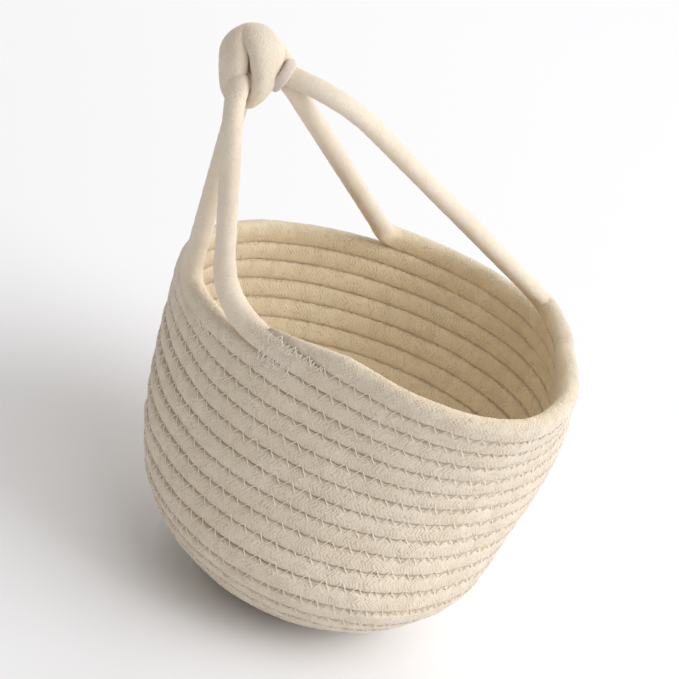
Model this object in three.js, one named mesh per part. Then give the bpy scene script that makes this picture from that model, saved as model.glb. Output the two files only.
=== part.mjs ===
// A small hanging basket: one long cotton rope, coiled from the middle of the base to the rim and
// sewn row to row, whose free stretches make two loop handles that are gathered in one knot.
// Lengths are in millimetres and angles in degrees. +Z is up along the basket, the base lies on
// z = 0 with its middle at the origin, and the front faces -Y. Angles run counterclockwise from
// +X, seen from above. The rope climbs clockwise, so its own angle falls as it rises.

import * as THREE from 'three';

// Rope
const ropePitch = 7.0; // from row to row, the real rope's thickness
const rowGap = 0.85; // kept free between rows, so that no row touches the next
const ropeRadius = (ropePitch - rowGap) / 2;
const ropeSides = 6;
const legSides = 8;
const stepsPerTurn = 24;
const legStep = 4.0;
const buttGap = 0.3; // between two stretches of the rope that follow each other
const flatShare = 0.1; // of the rope's diameter, taken off under the base
const seatAngle = 30; // from the spiral's start to the place that the origin lies under

// Wall from the rim down, measured on the rope's middle line, and how far it leans off upright
const wallSlant = 75.9;
const kneeSlant = 10.0;
const bowlSlant = 34.5;
const footSlant = 5.6;
const footRadius = 20.9; // where the flat base begins
const innerTurnRadius = 3.7; // where the spiral starts
const rimLean = -3.6;
const wallLean = 21.6;
const kneeLean = 36.8;
const footLean = 62;
const baseLean = 90;
const wallSteps = 72;

// What hanging has done to the soft body, each with the side on which it is greatest
const rimSideLean = 13.2;
const rimSideAngle = -68.3;
const rimOvalLean = 8.4;
const rimOvalAngle = 115.9;
const rimThirdLean = 6.1;
const rimThirdAngle = 81.6;
const wallSideLean = 35.4;
const wallSideAngle = 105.1;
const wallOvalLean = 3.0;
const wallOvalAngle = -56.6;
const kneeShift = 4.8;
const kneeShiftAngle = 38.7;

// Where the rope leaves the rim and lands on it again
const levelAngle = 37.3; // row numbers are whole at minus this angle
const tailTipAngle = -130;
const rightLandingAngle = 52.5;
const nearLeftAngle = 212;
const backLandingAngle = 458.5;
const farLeftAngle = 551;
const bendLeg = 12.0; // from a landing's corner to where the bend starts, on both sides
const nearLeftBendLeg = 20.0;
const tailTaperLength = 20.0;
const tailTipShare = 0.5;

// Knot, from the middle of the spiral, with the direction in which the ropes run into it
const knotMiddle = new THREE.Vector3(-72.6, -41.6, 190.6);
const knotRight = new THREE.Vector3(0.9222, 0.1868, 0.3387).normalize();
const knotAway = new THREE.Vector3(0, 0.8756, -0.483).normalize();
const knotReach = 14.1; // the knot's own rope ends here, and the legs start past the swing gap
const swingGap = 0.9;
const knotRowGap = 0.5;
const knotWrapRadius = 2 * ropeRadius + knotRowGap;
const knotSides = 8;
const leftNeckLeg = 5.0; // the same for the bend at the knot
const rightNeckLeg = 10.0;

// Sewing thread
const threadRadius = 0.3;
const threadLift = 1.6;
const threadSway = 0.4;
const threadSides = 3;
const tackStrokes = 5;
const tackStep = 1.6;
const tackGap = 0.7;
const tackAngle = 6; // from where a bend starts to its tack's middle
const tailTackAngle = 17;

const radians = Math.PI / 180;
const degreesPerTurn = 360;
const stepAngle = degreesPerTurn / stepsPerTurn;
const peekAngle = 0.5; // the rope's direction is measured over this to both sides
const up = new THREE.Vector3(0, 0, 1);

const cotton = { color: 0xe6dccb, roughness: 0.95, metalness: 0 };
const thread = { color: 0xf1ebdf, roughness: 0.85, metalness: 0 };

const half = 0.5;
const slantToBase = wallSlant + kneeSlant + bowlSlant + footSlant;
const slantToSpiralStart = slantToBase + footRadius - innerTurnRadius;
const baseRopeHeight = ropeRadius - 2 * ropeRadius * flatShare;
const wallStep = slantToBase / wallSteps;

// How strongly a side is the one that a change is greatest on, from -1 to 1.
function nearness(angle, side, waves = 1) {
  return Math.cos(waves * (angle - side) * radians);
}

// How far the wall leans off upright, in degrees, at an angle and a way down.
function leanAt(angle, down) {
  const shift = kneeShift * nearness(angle, kneeShiftAngle);
  const side = rimSideLean * nearness(angle, rimSideAngle);
  const oval = rimOvalLean * nearness(angle, rimOvalAngle, 2);
  const third = rimThirdLean * nearness(angle, rimThirdAngle, 3);
  const wallSide = wallSideLean * nearness(angle, wallSideAngle);
  const wallFoot = wallLean + wallSide + wallOvalLean * nearness(angle, wallOvalAngle, 2);
  const stretches = [
    { length: wallSlant + shift, from: rimLean + side + oval + third, to: wallFoot },
    { length: kneeSlant, from: wallFoot, to: kneeLean },
    { length: bowlSlant - shift, from: kneeLean, to: footLean },
    { length: footSlant, from: footLean, to: baseLean },
  ];
  let left = down;
  for (const { length, from, to } of stretches) {
    if (left < length) return from + ((to - from) * left) / length;
    left -= length;
  }
  return baseLean;
}

// Radius and height of the wall at equal steps of the way down, summed from the base upward.
const wallTables = new Map();
function wallTable(angle) {
  const key = ((angle % degreesPerTurn) + degreesPerTurn) % degreesPerTurn;
  if (!wallTables.has(key)) {
    const table = [{ radius: footRadius, height: baseRopeHeight }];
    for (let at = wallSteps - 1; at >= 0; at -= 1) {
      const lean = leanAt(key, (at + half) * wallStep) * radians;
      const { radius, height } = table[0];
      table.unshift({
        radius: radius + wallStep * Math.sin(lean),
        height: height + wallStep * Math.cos(lean),
      });
    }
    wallTables.set(key, table);
  }
  return wallTables.get(key);
}

// How far down the wall the rope's middle line is at its own angle.
function wayDown(angle) {
  return (ropePitch * (angle + levelAngle)) / degreesPerTurn;
}

function angleAt(down) {
  return (degreesPerTurn * down) / ropePitch - levelAngle;
}

// The place of the wall at an angle and a way down, and its direction out of the body.
function wallFrame(angle, down) {
  const turn = angle * radians;
  const outward = new THREE.Vector3(Math.cos(turn), Math.sin(turn), 0);
  const table = wallTable(angle);
  const step = Math.min(Math.max(Math.floor(down / wallStep), 0), wallSteps - 1);
  const share = Math.min(down, slantToBase) / wallStep - step;
  const past = Math.max(down - slantToBase, 0);
  const radius = table[step].radius + (table[step + 1].radius - table[step].radius) * share - past;
  const height = table[step].height + (table[step + 1].height - table[step].height) * share;
  const lean = leanAt(angle, down) * radians;
  const out = outward.clone().multiplyScalar(Math.cos(lean)).addScaledVector(up, -Math.sin(lean));
  return { place: outward.clone().multiplyScalar(radius).addScaledVector(up, height), out };
}

// A point on the rope's faceted line, or rows below it and lifted off it.
function onRow(angle, rows = 0, lift = 0) {
  const before = Math.floor(angle / stepAngle) * stepAngle;
  const share = (angle - before) / stepAngle;
  const ends = [before, before + stepAngle].map((at) => {
    const frame = wallFrame(at, wayDown(at) + rows * ropePitch);
    return frame.place.addScaledVector(frame.out, lift);
  });
  return ends[0].lerp(ends[1], share);
}

// The rope's own directions: the way it climbs, out of the body, and toward the row above.
function ropeFrame(angle) {
  const climb = onRow(angle - peekAngle).sub(onRow(angle + peekAngle)).normalize();
  const { out } = wallFrame(angle, wayDown(angle));
  out.addScaledVector(climb, -out.dot(climb)).normalize();
  return { climb, out, along: climb.clone().cross(out) };
}

// The angles of a stretch of the rope: its two ends and each whole step between them.
function anglesBetween(high, low) {
  const angles = [high];
  for (let at = Math.ceil(high / stepAngle - 1) * stepAngle; at > low; at -= stepAngle) {
    if (at < high) angles.push(at);
  }
  angles.push(low);
  return angles;
}

// One closed tube through rings of points, with its two ends closed.
function tubeThrough(rings) {
  const sides = rings[0].length;
  const positions = rings.flat().flatMap((point) => [point.x, point.y, point.z]);
  const faces = [];
  for (let ring = 0; ring < rings.length - 1; ring += 1) {
    for (let side = 0; side < sides; side += 1) {
      const next = (side + 1) % sides;
      const a = ring * sides + side;
      const b = ring * sides + next;
      faces.push(a, b, b + sides, a, b + sides, a + sides);
    }
  }
  const last = (rings.length - 1) * sides;
  for (let side = 1; side < sides - 1; side += 1) {
    faces.push(0, side + 1, side);
    faces.push(last, last + side, last + side + 1);
  }
  if (enclosedVolume(positions, faces) < 0) faces.reverse();
  const geometry = new THREE.BufferGeometry();
  geometry.setAttribute('position', new THREE.Float32BufferAttribute(positions, 3));
  geometry.setIndex(faces);
  return geometry;
}

function enclosedVolume(positions, faces) {
  const corner = (index) => new THREE.Vector3().fromArray(positions, 3 * index);
  let sum = 0;
  for (let face = 0; face < faces.length; face += 3) {
    sum += corner(faces[face]).dot(corner(faces[face + 1]).cross(corner(faces[face + 2])));
  }
  return sum;
}

function ringAround(centre, first, second, radius, sides) {
  return Array.from({ length: sides }, (_, side) => {
    const turn = (2 * Math.PI * side) / sides;
    return centre
      .clone()
      .addScaledVector(first, radius * Math.cos(turn))
      .addScaledVector(second, radius * Math.sin(turn));
  });
}

// A stretch of coiled rope. A thinner place lies on the row below, and nothing of it reaches
// below the plane that the base lies on.
function coiledRope(high, low, radiusAt = () => ropeRadius) {
  const rings = anglesBetween(high, low).map((angle) => {
    const { along, out } = ropeFrame(angle);
    const radius = radiusAt(angle);
    const centre = onRow(angle).addScaledVector(along, radius - ropeRadius);
    const ring = ringAround(centre, along, out, radius, ropeSides);
    for (const point of ring) point.z = Math.max(point.z, 0);
    return ring;
  });
  return tubeThrough(rings);
}

// A tube along points, its section carried along without twist.
function sweptRope(points, radius, sides) {
  const rings = [];
  let side = null;
  for (let at = 0; at < points.length; at += 1) {
    const ahead = points[Math.min(at + 1, points.length - 1)];
    const tangent = ahead.clone().sub(points[Math.max(at - 1, 0)]).normalize();
    side = side ?? new THREE.Vector3(0, 1, 0);
    side = side.clone().addScaledVector(tangent, -side.dot(tangent)).normalize();
    rings.push(ringAround(points[at], side, tangent.clone().cross(side), radius, sides));
  }
  return tubeThrough(rings);
}

// The least gap of a coiled stretch to itself, on points of its middle line.
function leastGapOfCoil(high, low) {
  const points = [];
  const samples = 4;
  for (let angle = high; angle > low; angle -= stepAngle / samples) points.push(onRow(angle));
  const apart = stepsPerTurn * samples * half;
  let least = Infinity;
  for (let a = 0; a < points.length; a += 1) {
    for (let b = Math.floor(a + apart); b < points.length; b += 1) {
      least = Math.min(least, points[a].distanceTo(points[b]));
    }
  }
  return least - 2 * ropeRadius;
}

// The least gap between two swept stretches, or of one to itself past a way along it.
function leastGapOfLines(first, second, apart = 0) {
  let least = Infinity;
  let wayA = 0;
  for (let a = 0; a < first.length; a += 1) {
    if (a > 0) wayA += first[a].distanceTo(first[a - 1]);
    let wayB = 0;
    for (let b = 0; b < second.length; b += 1) {
      if (b > 0) wayB += second[b].distanceTo(second[b - 1]);
      if (wayB - wayA < apart) continue;
      least = Math.min(least, first[a].distanceTo(second[b]));
    }
  }
  return least - 2 * ropeRadius;
}

// The angle that a length along the rope takes up at one place.
function arcAngle(angle, length) {
  const here = onRow(angle);
  return length / Math.hypot(here.x, here.y) / radians;
}

// A place or direction by the knot, as seen along the line that its ropes run in.
const knotUp = knotRight.clone().cross(knotAway);
function knotVector(right, away, rise) {
  const vector = knotRight.clone().multiplyScalar(right);
  return vector.addScaledVector(knotAway, away).addScaledVector(knotUp, rise);
}

// The way in which each leg leaves the knot.
const nearLeftWay = knotVector(-0.33, -0.3, -0.9).normalize();
const farLeftWay = knotVector(-0.28, 0.54, -0.79).normalize();
const rightWay = knotVector(0.87, -0.3, -0.38).normalize();
const backWay = knotVector(0.78, 0.42, -0.46).normalize();

// One leg of a handle: off the rim in a bend, straight to the knot, and squarely up to it.
function legCurve(rimAngle, { sense, way, bend, neckLeg }) {
  const start = onRow(rimAngle);
  const tangent = onRow(rimAngle + sense * peekAngle).sub(start).normalize();
  const corner = start.clone().addScaledVector(tangent, bend);
  const end = knotMiddle.clone().addScaledVector(way, knotReach + swingGap);
  const neck = end.clone().addScaledVector(way, neckLeg);
  const run = neck.clone().sub(corner).normalize();
  const bendEnd = corner.clone().addScaledVector(run, bend);
  const neckStart = neck.clone().addScaledVector(run, -neckLeg);
  const path = new THREE.CurvePath();
  path.add(new THREE.QuadraticBezierCurve3(start, corner, bendEnd));
  path.add(new THREE.LineCurve3(bendEnd, neckStart));
  path.add(new THREE.QuadraticBezierCurve3(neckStart, neck, end));
  return path;
}

function ropeSection(radius, sides) {
  const points = Array.from({ length: sides }, (_, side) => {
    const turn = (2 * Math.PI * side) / sides;
    return new THREE.Vector2(radius * Math.cos(turn), radius * Math.sin(turn));
  });
  return new THREE.Shape(points);
}

function legRope(path) {
  const steps = Math.round(path.getLength() / legStep);
  const section = ropeSection(ropeRadius, legSides);
  return new THREE.ExtrudeGeometry(section, { extrudePath: path, steps, bevelEnabled: false });
}

// Knot: the back handle's rope runs through it as a core, along X and then down to its left leg.
function smoothLine(points, step) {
  const curve = new THREE.CatmullRomCurve3(points);
  return curve.getSpacedPoints(Math.round(curve.getLength() / step));
}

function fromKnot(shares) {
  return knotMiddle.clone().addScaledVector(knotVector(...shares), ropePitch);
}

const knotStep = ropeRadius / 1.5;
const knotEndShare = 0.82;
function knotEnd(way, share = 1) {
  return knotMiddle.clone().addScaledVector(way, knotReach * share);
}

const coreShares = [
  [1.22, 0.52, -0.45],
  [0.85, 0.2, 0.03],
  [0.4, 0, 0.06],
  [-0.1, 0, 0],
  [-0.6, 0, 0],
  [-0.87, 0.13, -0.23],
  [-0.75, 0.43, -0.66],
];
const coreLine = smoothLine(
  [
    knotEnd(backWay),
    knotEnd(backWay, knotEndShare),
    ...coreShares.map(fromKnot),
    knotEnd(farLeftWay, knotEndShare),
    knotEnd(farLeftWay),
  ],
  knotStep,
);

// The front handle's rope winds round that core, from the right neck under, behind and over it.
const wrapStartAngle = 160;
const wrapEndAngle = 475;
const wrapEntryShares = [0.9, -0.61, -0.8];
const wrapStepAngle = 35;
const wrapStartShare = 0.5; // along the core from the knot's middle, in rope pitches
function wrapPoint(angle) {
  const turn = angle * radians;
  const turns = (angle - wrapStartAngle) / degreesPerTurn;
  const right = wrapStartShare * ropePitch - turns * (ropePitch + knotRowGap);
  const away = -knotWrapRadius * Math.sin(turn);
  return knotMiddle.clone().add(knotVector(right, away, knotWrapRadius * Math.cos(turn)));
}

const wrapAngles = [];
for (let at = wrapStartAngle; at <= wrapEndAngle; at += wrapStepAngle) wrapAngles.push(at);
const wrapLine = smoothLine(
  [
    knotEnd(rightWay),
    knotEnd(rightWay, knotEndShare),
    fromKnot(wrapEntryShares),
    ...wrapAngles.map(wrapPoint),
    knotEnd(nearLeftWay, knotEndShare),
    knotEnd(nearLeftWay),
  ],
  knotStep,
);

// The zigzag seam that joins the rows, in the groove on the outside.
function seamThread(high, low) {
  const rings = anglesBetween(high, low).map((angle, at) => {
    const { along, out } = ropeFrame(angle);
    const sway = at % 2 ? threadSway : -threadSway;
    const centre = onRow(angle, half, threadLift).addScaledVector(along, sway);
    return ringAround(centre, along, out, threadRadius, threadSides);
  });
  return tubeThrough(rings);
}

// Dense stitches that tie one row to the row below it, laid over both from stroke to stroke.
const tackLift = ropeRadius * Math.cos(Math.PI / ropeSides) + tackGap + threadRadius;
function tackThread(middleAngle) {
  const step = arcAngle(middleAngle, tackStep);
  const points = [];
  const outs = [];
  for (let stroke = 0; stroke < tackStrokes; stroke += 1) {
    const angle = middleAngle + step * (stroke - half * (tackStrokes - 1));
    const rows = stroke % 2 ? [1, 0] : [0, 1];
    for (const row of rows) {
      points.push(onRow(angle, row, tackLift));
      outs.push(wallFrame(angle, wayDown(angle) + half * ropePitch).out);
    }
  }
  const rings = points.map((point, at) => {
    const tangent = new THREE.Vector3();
    if (at > 0) tangent.add(point.clone().sub(points[at - 1]).normalize());
    if (at < points.length - 1) tangent.add(points[at + 1].clone().sub(point).normalize());
    tangent.normalize();
    const out = outs[at].clone().addScaledVector(tangent, -outs[at].dot(tangent)).normalize();
    return ringAround(point, tangent.clone().cross(out), out, threadRadius, threadSides);
  });
  return tubeThrough(rings);
}

const spiralStartAngle = angleAt(slantToSpiralStart);
const coilEndAngle = farLeftAngle + arcAngle(farLeftAngle, bendLeg);
const middleTurnHigh = backLandingAngle - arcAngle(backLandingAngle, bendLeg);
const middleTurnLow = nearLeftAngle + arcAngle(nearLeftAngle, nearLeftBendLeg);
const topTurnHigh = rightLandingAngle - arcAngle(rightLandingAngle, bendLeg);
const taperAngle = arcAngle(tailTipAngle, tailTaperLength);

function tailRadius(angle) {
  const share = Math.min(1, (angle - tailTipAngle) / taperAngle);
  return ropeRadius * (tailTipShare + (1 - tailTipShare) * share);
}

// A leg starts one butt gap past the end of the row that it continues.
function legFrom(rowEnd, leg) {
  return legCurve(rowEnd + leg.sense * arcAngle(rowEnd, buttGap), leg);
}

const leftLeg = { sense: -1, bend: bendLeg, neckLeg: leftNeckLeg };
const rightLeg = { sense: 1, bend: bendLeg, neckLeg: rightNeckLeg };
const nearLeftLeg = { ...leftLeg, bend: nearLeftBendLeg, way: nearLeftWay };
const legs = {
  back_handle_left_leg: legFrom(coilEndAngle, { ...leftLeg, way: farLeftWay }),
  back_handle_right_leg: legFrom(middleTurnHigh, { ...rightLeg, way: backWay }),
  front_handle_left_leg: legFrom(middleTurnLow, nearLeftLeg),
  front_handle_right_leg: legFrom(topTurnHigh, { ...rightLeg, way: rightWay }),
};

// The whole part is moved so that the origin lies on the flat strip under the first turn.
const seat = onRow(spiralStartAngle - seatAngle);
const basket = new THREE.Group();
function add(name, geometry, look) {
  geometry.translate(-seat.x, -seat.y, 0);
  const mesh = new THREE.Mesh(geometry, new THREE.MeshStandardMaterial(look));
  mesh.name = name;
  basket.add(mesh);
}

add('body_coil', coiledRope(spiralStartAngle, coilEndAngle), cotton);
add('rim_middle_turn', coiledRope(middleTurnHigh, middleTurnLow), cotton);
add('rim_top_turn', coiledRope(topTurnHigh, tailTipAngle, tailRadius), cotton);
for (const [name, path] of Object.entries(legs)) add(name, legRope(path), cotton);
add('knot_core', sweptRope(coreLine, ropeRadius, knotSides), cotton);
add('knot_wraps', sweptRope(wrapLine, ropeRadius, knotSides), cotton);
add('seam_thread', seamThread(angleAt(slantToBase), coilEndAngle), thread);
add('tack_far_left', tackThread(coilEndAngle + tackAngle), thread);
add('tack_back', tackThread(middleTurnHigh - tackAngle), thread);
add('tack_near_left', tackThread(middleTurnLow + tackAngle), thread);
add('tack_right', tackThread(topTurnHigh - tackAngle), thread);
add('tack_tail', tackThread(tailTipAngle + tailTackAngle), thread);

const coilGap = leastGapOfCoil(spiralStartAngle, coilEndAngle);
const wrapsGap = leastGapOfLines(wrapLine, wrapLine, 3 * ropePitch);
console.log('body coil, least gap to itself:', coilGap.toFixed(2), 'mm');
console.log('knot wraps, least gap to themselves:', wrapsGap.toFixed(2), 'mm');
console.log('knot wraps to core:', leastGapOfLines(wrapLine, coreLine, -Infinity).toFixed(2), 'mm');
for (const [name, path] of Object.entries(legs)) {
  console.log(name, path.getLength().toFixed(1), 'mm long');
}
console.log('moved by', (-seat.x).toFixed(2), (-seat.y).toFixed(2));

export default basket;
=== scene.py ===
"""A small hanging basket of coiled and sewn cotton rope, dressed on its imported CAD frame.

One rope is coiled from the middle of the base to the rim. Its two free stretches make the
handles, which a knot gathers. Lengths are in millimetres until a mesh is made, and angles in
degrees, counterclockwise from +X seen from above. The rope climbs clockwise.
"""

from __future__ import annotations

import logging
import math
from dataclasses import dataclass, field, fields, replace
from enum import Enum
from functools import cached_property
from typing import Callable, Sequence

import bpy
import numpy as np
from mathutils import Matrix, Vector


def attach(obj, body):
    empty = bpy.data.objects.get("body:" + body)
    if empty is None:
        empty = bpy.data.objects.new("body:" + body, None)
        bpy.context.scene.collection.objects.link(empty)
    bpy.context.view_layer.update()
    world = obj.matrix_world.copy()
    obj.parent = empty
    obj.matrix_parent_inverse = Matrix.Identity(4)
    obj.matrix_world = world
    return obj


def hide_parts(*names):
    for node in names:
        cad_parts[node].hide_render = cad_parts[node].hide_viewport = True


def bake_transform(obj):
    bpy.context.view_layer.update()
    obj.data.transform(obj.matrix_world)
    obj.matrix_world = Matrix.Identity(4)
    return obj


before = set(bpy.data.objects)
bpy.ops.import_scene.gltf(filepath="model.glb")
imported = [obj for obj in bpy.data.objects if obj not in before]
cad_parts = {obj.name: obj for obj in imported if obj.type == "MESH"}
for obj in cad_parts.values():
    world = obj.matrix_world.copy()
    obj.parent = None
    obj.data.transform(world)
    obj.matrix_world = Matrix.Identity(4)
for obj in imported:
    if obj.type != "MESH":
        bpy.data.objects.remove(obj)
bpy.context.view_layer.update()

log = logging.getLogger("basket")

Triple = tuple[float, float, float]
Pair = tuple[float, float]

MILLIMETRE = 0.001
UP = np.array([0.0, 0.0, 1.0])
FULL_TURN = 360.0
RADIANS = 2 * math.pi
PICTURE_RIGHT = (0.9222, 0.1868, 0.3387)


class Side(Enum):
    """The side of the basket's wall that a thread lies on."""

    OUTSIDE = 1.0
    INSIDE = -1.0


class Body(Enum):
    """The moving bodies of the frame."""

    BASKET = "basket"
    KNOT = "knot"


class Slot(Enum):
    """The record's material slots."""

    ROPE = "cotton_rope"
    THREAD = "sewing_thread"


def unit(vectors: np.ndarray) -> np.ndarray:
    """Scale each vector to a length of one."""
    return vectors / np.linalg.norm(vectors, axis=-1, keepdims=True)


def across(vectors: np.ndarray, tangents: np.ndarray) -> np.ndarray:
    """Take from each vector what points along its tangent, and scale the rest to one."""
    share = np.sum(vectors * tangents, axis=-1, keepdims=True)
    return unit(vectors - tangents * share)


def smooth_share(values: np.ndarray, start: float, end: float) -> np.ndarray:
    """Rise smoothly from 0 at start to 1 at end."""
    share = np.clip((values - start) / (end - start), 0.0, 1.0)
    return share * share * (3.0 - 2.0 * share)


def way_along(points: np.ndarray) -> np.ndarray:
    """Give the length along a line of points up to each of them."""
    steps = np.linalg.norm(np.diff(points, axis=0), axis=1)
    return np.concatenate([[0.0], np.cumsum(steps)])


def spaced(rows: np.ndarray, step: float) -> np.ndarray:
    """Put rows at equal steps along a line.

    Args:
        rows: Close rows of a place in three numbers, and of further values if there are any.
        step: The wanted length of a step.

    Returns:
        The new rows, with the line's two ends among them.
    """
    way = way_along(rows[:, :3])
    places = np.linspace(0.0, way[-1], max(2, int(round(way[-1] / step)) + 1))
    return np.stack([np.interp(places, way, column) for column in rows.T], axis=1)


def through(points: Sequence[Sequence[float]], samples: int = 24) -> np.ndarray:
    """Draw a smooth curve through rows of numbers.

    Args:
        points: Rows of the same length, such as a place followed by two sizes.
        samples: How many rows each stretch between two given ones gets.

    Returns:
        The rows of the curve.
    """
    rows = np.asarray(points, float)
    padded = np.vstack([2 * rows[0] - rows[1], rows, 2 * rows[-1] - rows[-2]])
    share = np.linspace(0.0, 1.0, samples, endpoint=False)[:, None]
    stretches = []
    for at in range(len(rows) - 1):
        before, start, end, after = padded[at : at + 4]
        square = (2 * before - 5 * start + 4 * end - after) * share**2
        cube = (3 * start - before - 3 * end + after) * share**3
        stretches.append(0.5 * (2 * start + (end - before) * share + square + cube))
    return np.vstack([*stretches, rows[-1:]])


def link(name: str, data: bpy.types.ID) -> bpy.types.Object:
    """Make an object of a mesh, lamp or camera, and put it into the scene."""
    made = bpy.data.objects.new(name, data)
    bpy.context.scene.collection.objects.link(made)
    return made


def points_mesh(
    name: str, points: np.ndarray, values: dict[str, np.ndarray]
) -> bpy.types.Mesh:
    """Make a mesh of loose points, in metres, with an attribute for each array of values."""
    mesh = bpy.data.meshes.new(name + "_points")
    mesh.from_pydata(points.tolist(), [], [])
    for label, array in values.items():
        kind, key = ("FLOAT_VECTOR", "vector") if array.ndim > 1 else ("FLOAT", "value")
        attribute = mesh.attributes.new(label, kind, "POINT")
        attribute.data.foreach_set(key, array.astype(np.float32).ravel())
    return mesh


def maths(operation: str, swapped: bool = False) -> Callable[..., "Wire"]:
    """Make a method of Wire that adds one Math node.

    Args:
        operation: The node's operation.
        swapped: Whether the other value comes first.

    Returns:
        The method. Its other value is a number, a wire or nothing.
    """

    def method(wire: "Wire", other: object = None) -> "Wire":
        """Add the node and hand back its result."""
        values = [wire] if other is None else [wire, other]
        ordered = values[::-1] if swapped else values
        return wire.graph.node("ShaderNodeMath", {"operation": operation}, dict(enumerate(ordered)))

    return method


class Wire:
    """One output of a node, on which Python's operators add Math nodes."""

    __add__ = __radd__ = maths("ADD")
    __sub__, __rsub__ = maths("SUBTRACT"), maths("SUBTRACT", swapped=True)
    __mul__ = __rmul__ = maths("MULTIPLY")
    __truediv__, __rtruediv__ = maths("DIVIDE"), maths("DIVIDE", swapped=True)
    __pow__, __abs__ = maths("POWER"), maths("ABSOLUTE")
    floor, fraction, sign = maths("FLOOR"), maths("FRACT"), maths("SIGN")
    sine, cosine = maths("SINE"), maths("COSINE")
    above, at_least, at_most = maths("GREATER_THAN"), maths("MAXIMUM"), maths("MINIMUM")

    def __init__(self, graph: "Graph", socket: bpy.types.NodeSocket | None) -> None:
        """Keep the graph that the output belongs to and the output itself."""
        self.graph = graph
        self.socket = socket

    def within(self, low: float, high: float) -> "Wire":
        """Hold the value between two numbers."""
        return self.at_least(low).at_most(high)

    def output(self, name: str) -> "Wire":
        """Give another output of the same node."""
        return Wire(self.graph, self.socket.node.outputs[name])


class Graph:
    """A node tree that is written as expressions."""

    def __init__(self, tree: bpy.types.NodeTree) -> None:
        """Keep the tree that the nodes go into."""
        self.tree = tree

    @classmethod
    def blank(cls, owner: bpy.types.Material | bpy.types.World) -> "Graph":
        """Empty the tree of a material or world and take it over."""
        owner.use_nodes = True
        owner.node_tree.nodes.clear()
        return cls(owner.node_tree)

    def node(
        self,
        kind: str,
        settings: dict[str, object] | None = None,
        inputs: dict[str | int, object] | None = None,
        output: str | int = 0,
    ) -> Wire:
        """Add a node of any kind.

        Args:
            kind: The node's type.
            settings: Its own settings, which are set before its sockets are used.
            inputs: Values or wires for its sockets, by name or number. A colour has three
                numbers.
            output: The output that is handed back.

        Returns:
            The chosen output.
        """
        made = self.tree.nodes.new(kind)
        for name, value in (settings or {}).items():
            setattr(made, name, value)
        for name, value in (inputs or {}).items():
            socket = made.inputs[name]
            if isinstance(value, Wire):
                self.tree.links.new(value.socket, socket)
            else:
                socket.default_value = (*value, 1.0) if socket.type == "RGBA" else value
        return Wire(self, made.outputs[output] if made.outputs else None)

    def scaled(self, vector: Wire, factor: Wire | float) -> Wire:
        """Stretch a vector."""
        settings = {"operation": "SCALE"}
        return self.node("ShaderNodeVectorMath", settings, {0: vector, "Scale": factor})

    def summed(self, *vectors: Wire) -> Wire:
        """Add vectors."""
        total = vectors[0]
        for vector in vectors[1:]:
            total = self.node("ShaderNodeVectorMath", {"operation": "ADD"}, {0: total, 1: vector})
        return total

    def length(self, vector: Wire) -> Wire:
        """Give a vector's length."""
        return self.node("ShaderNodeVectorMath", {"operation": "LENGTH"}, {0: vector}, "Value")

    def mixed(self, share: Wire, first: object, second: object, blend: str = "MIX") -> Wire:
        """Mix two colours."""
        settings = {"data_type": "RGBA", "blend_type": blend}
        return self.node("ShaderNodeMix", settings, {0: share, 6: first, 7: second}, 2)

    def noise(self, place: Wire, scale: Wire | float, detail: float) -> Wire:
        """Add a noise in space."""
        inputs = {"Vector": place, "Scale": scale, "Detail": detail}
        return self.node("ShaderNodeTexNoise", {"noise_dimensions": "3D"}, inputs)

    def place(self) -> Wire:
        """Give the places on a piece in its own coordinates."""
        return self.node("ShaderNodeTexCoord", None, None, "Object")

    def stored(self, name: str) -> Wire:
        """Read a number that the rope's rule has stored on a piece."""
        return self.node("ShaderNodeAttribute", {"attribute_name": name}, None, "Fac")

    def camera_ray(self) -> Wire:
        """Give 1 for what the camera sees directly."""
        return self.node("ShaderNodeLightPath", None, None, "Is Camera Ray")

    def surface(self, shader: Wire, kind: str = "ShaderNodeOutputMaterial") -> None:
        """End the tree in a shader."""
        self.node(kind, None, {"Surface": shader})


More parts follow.
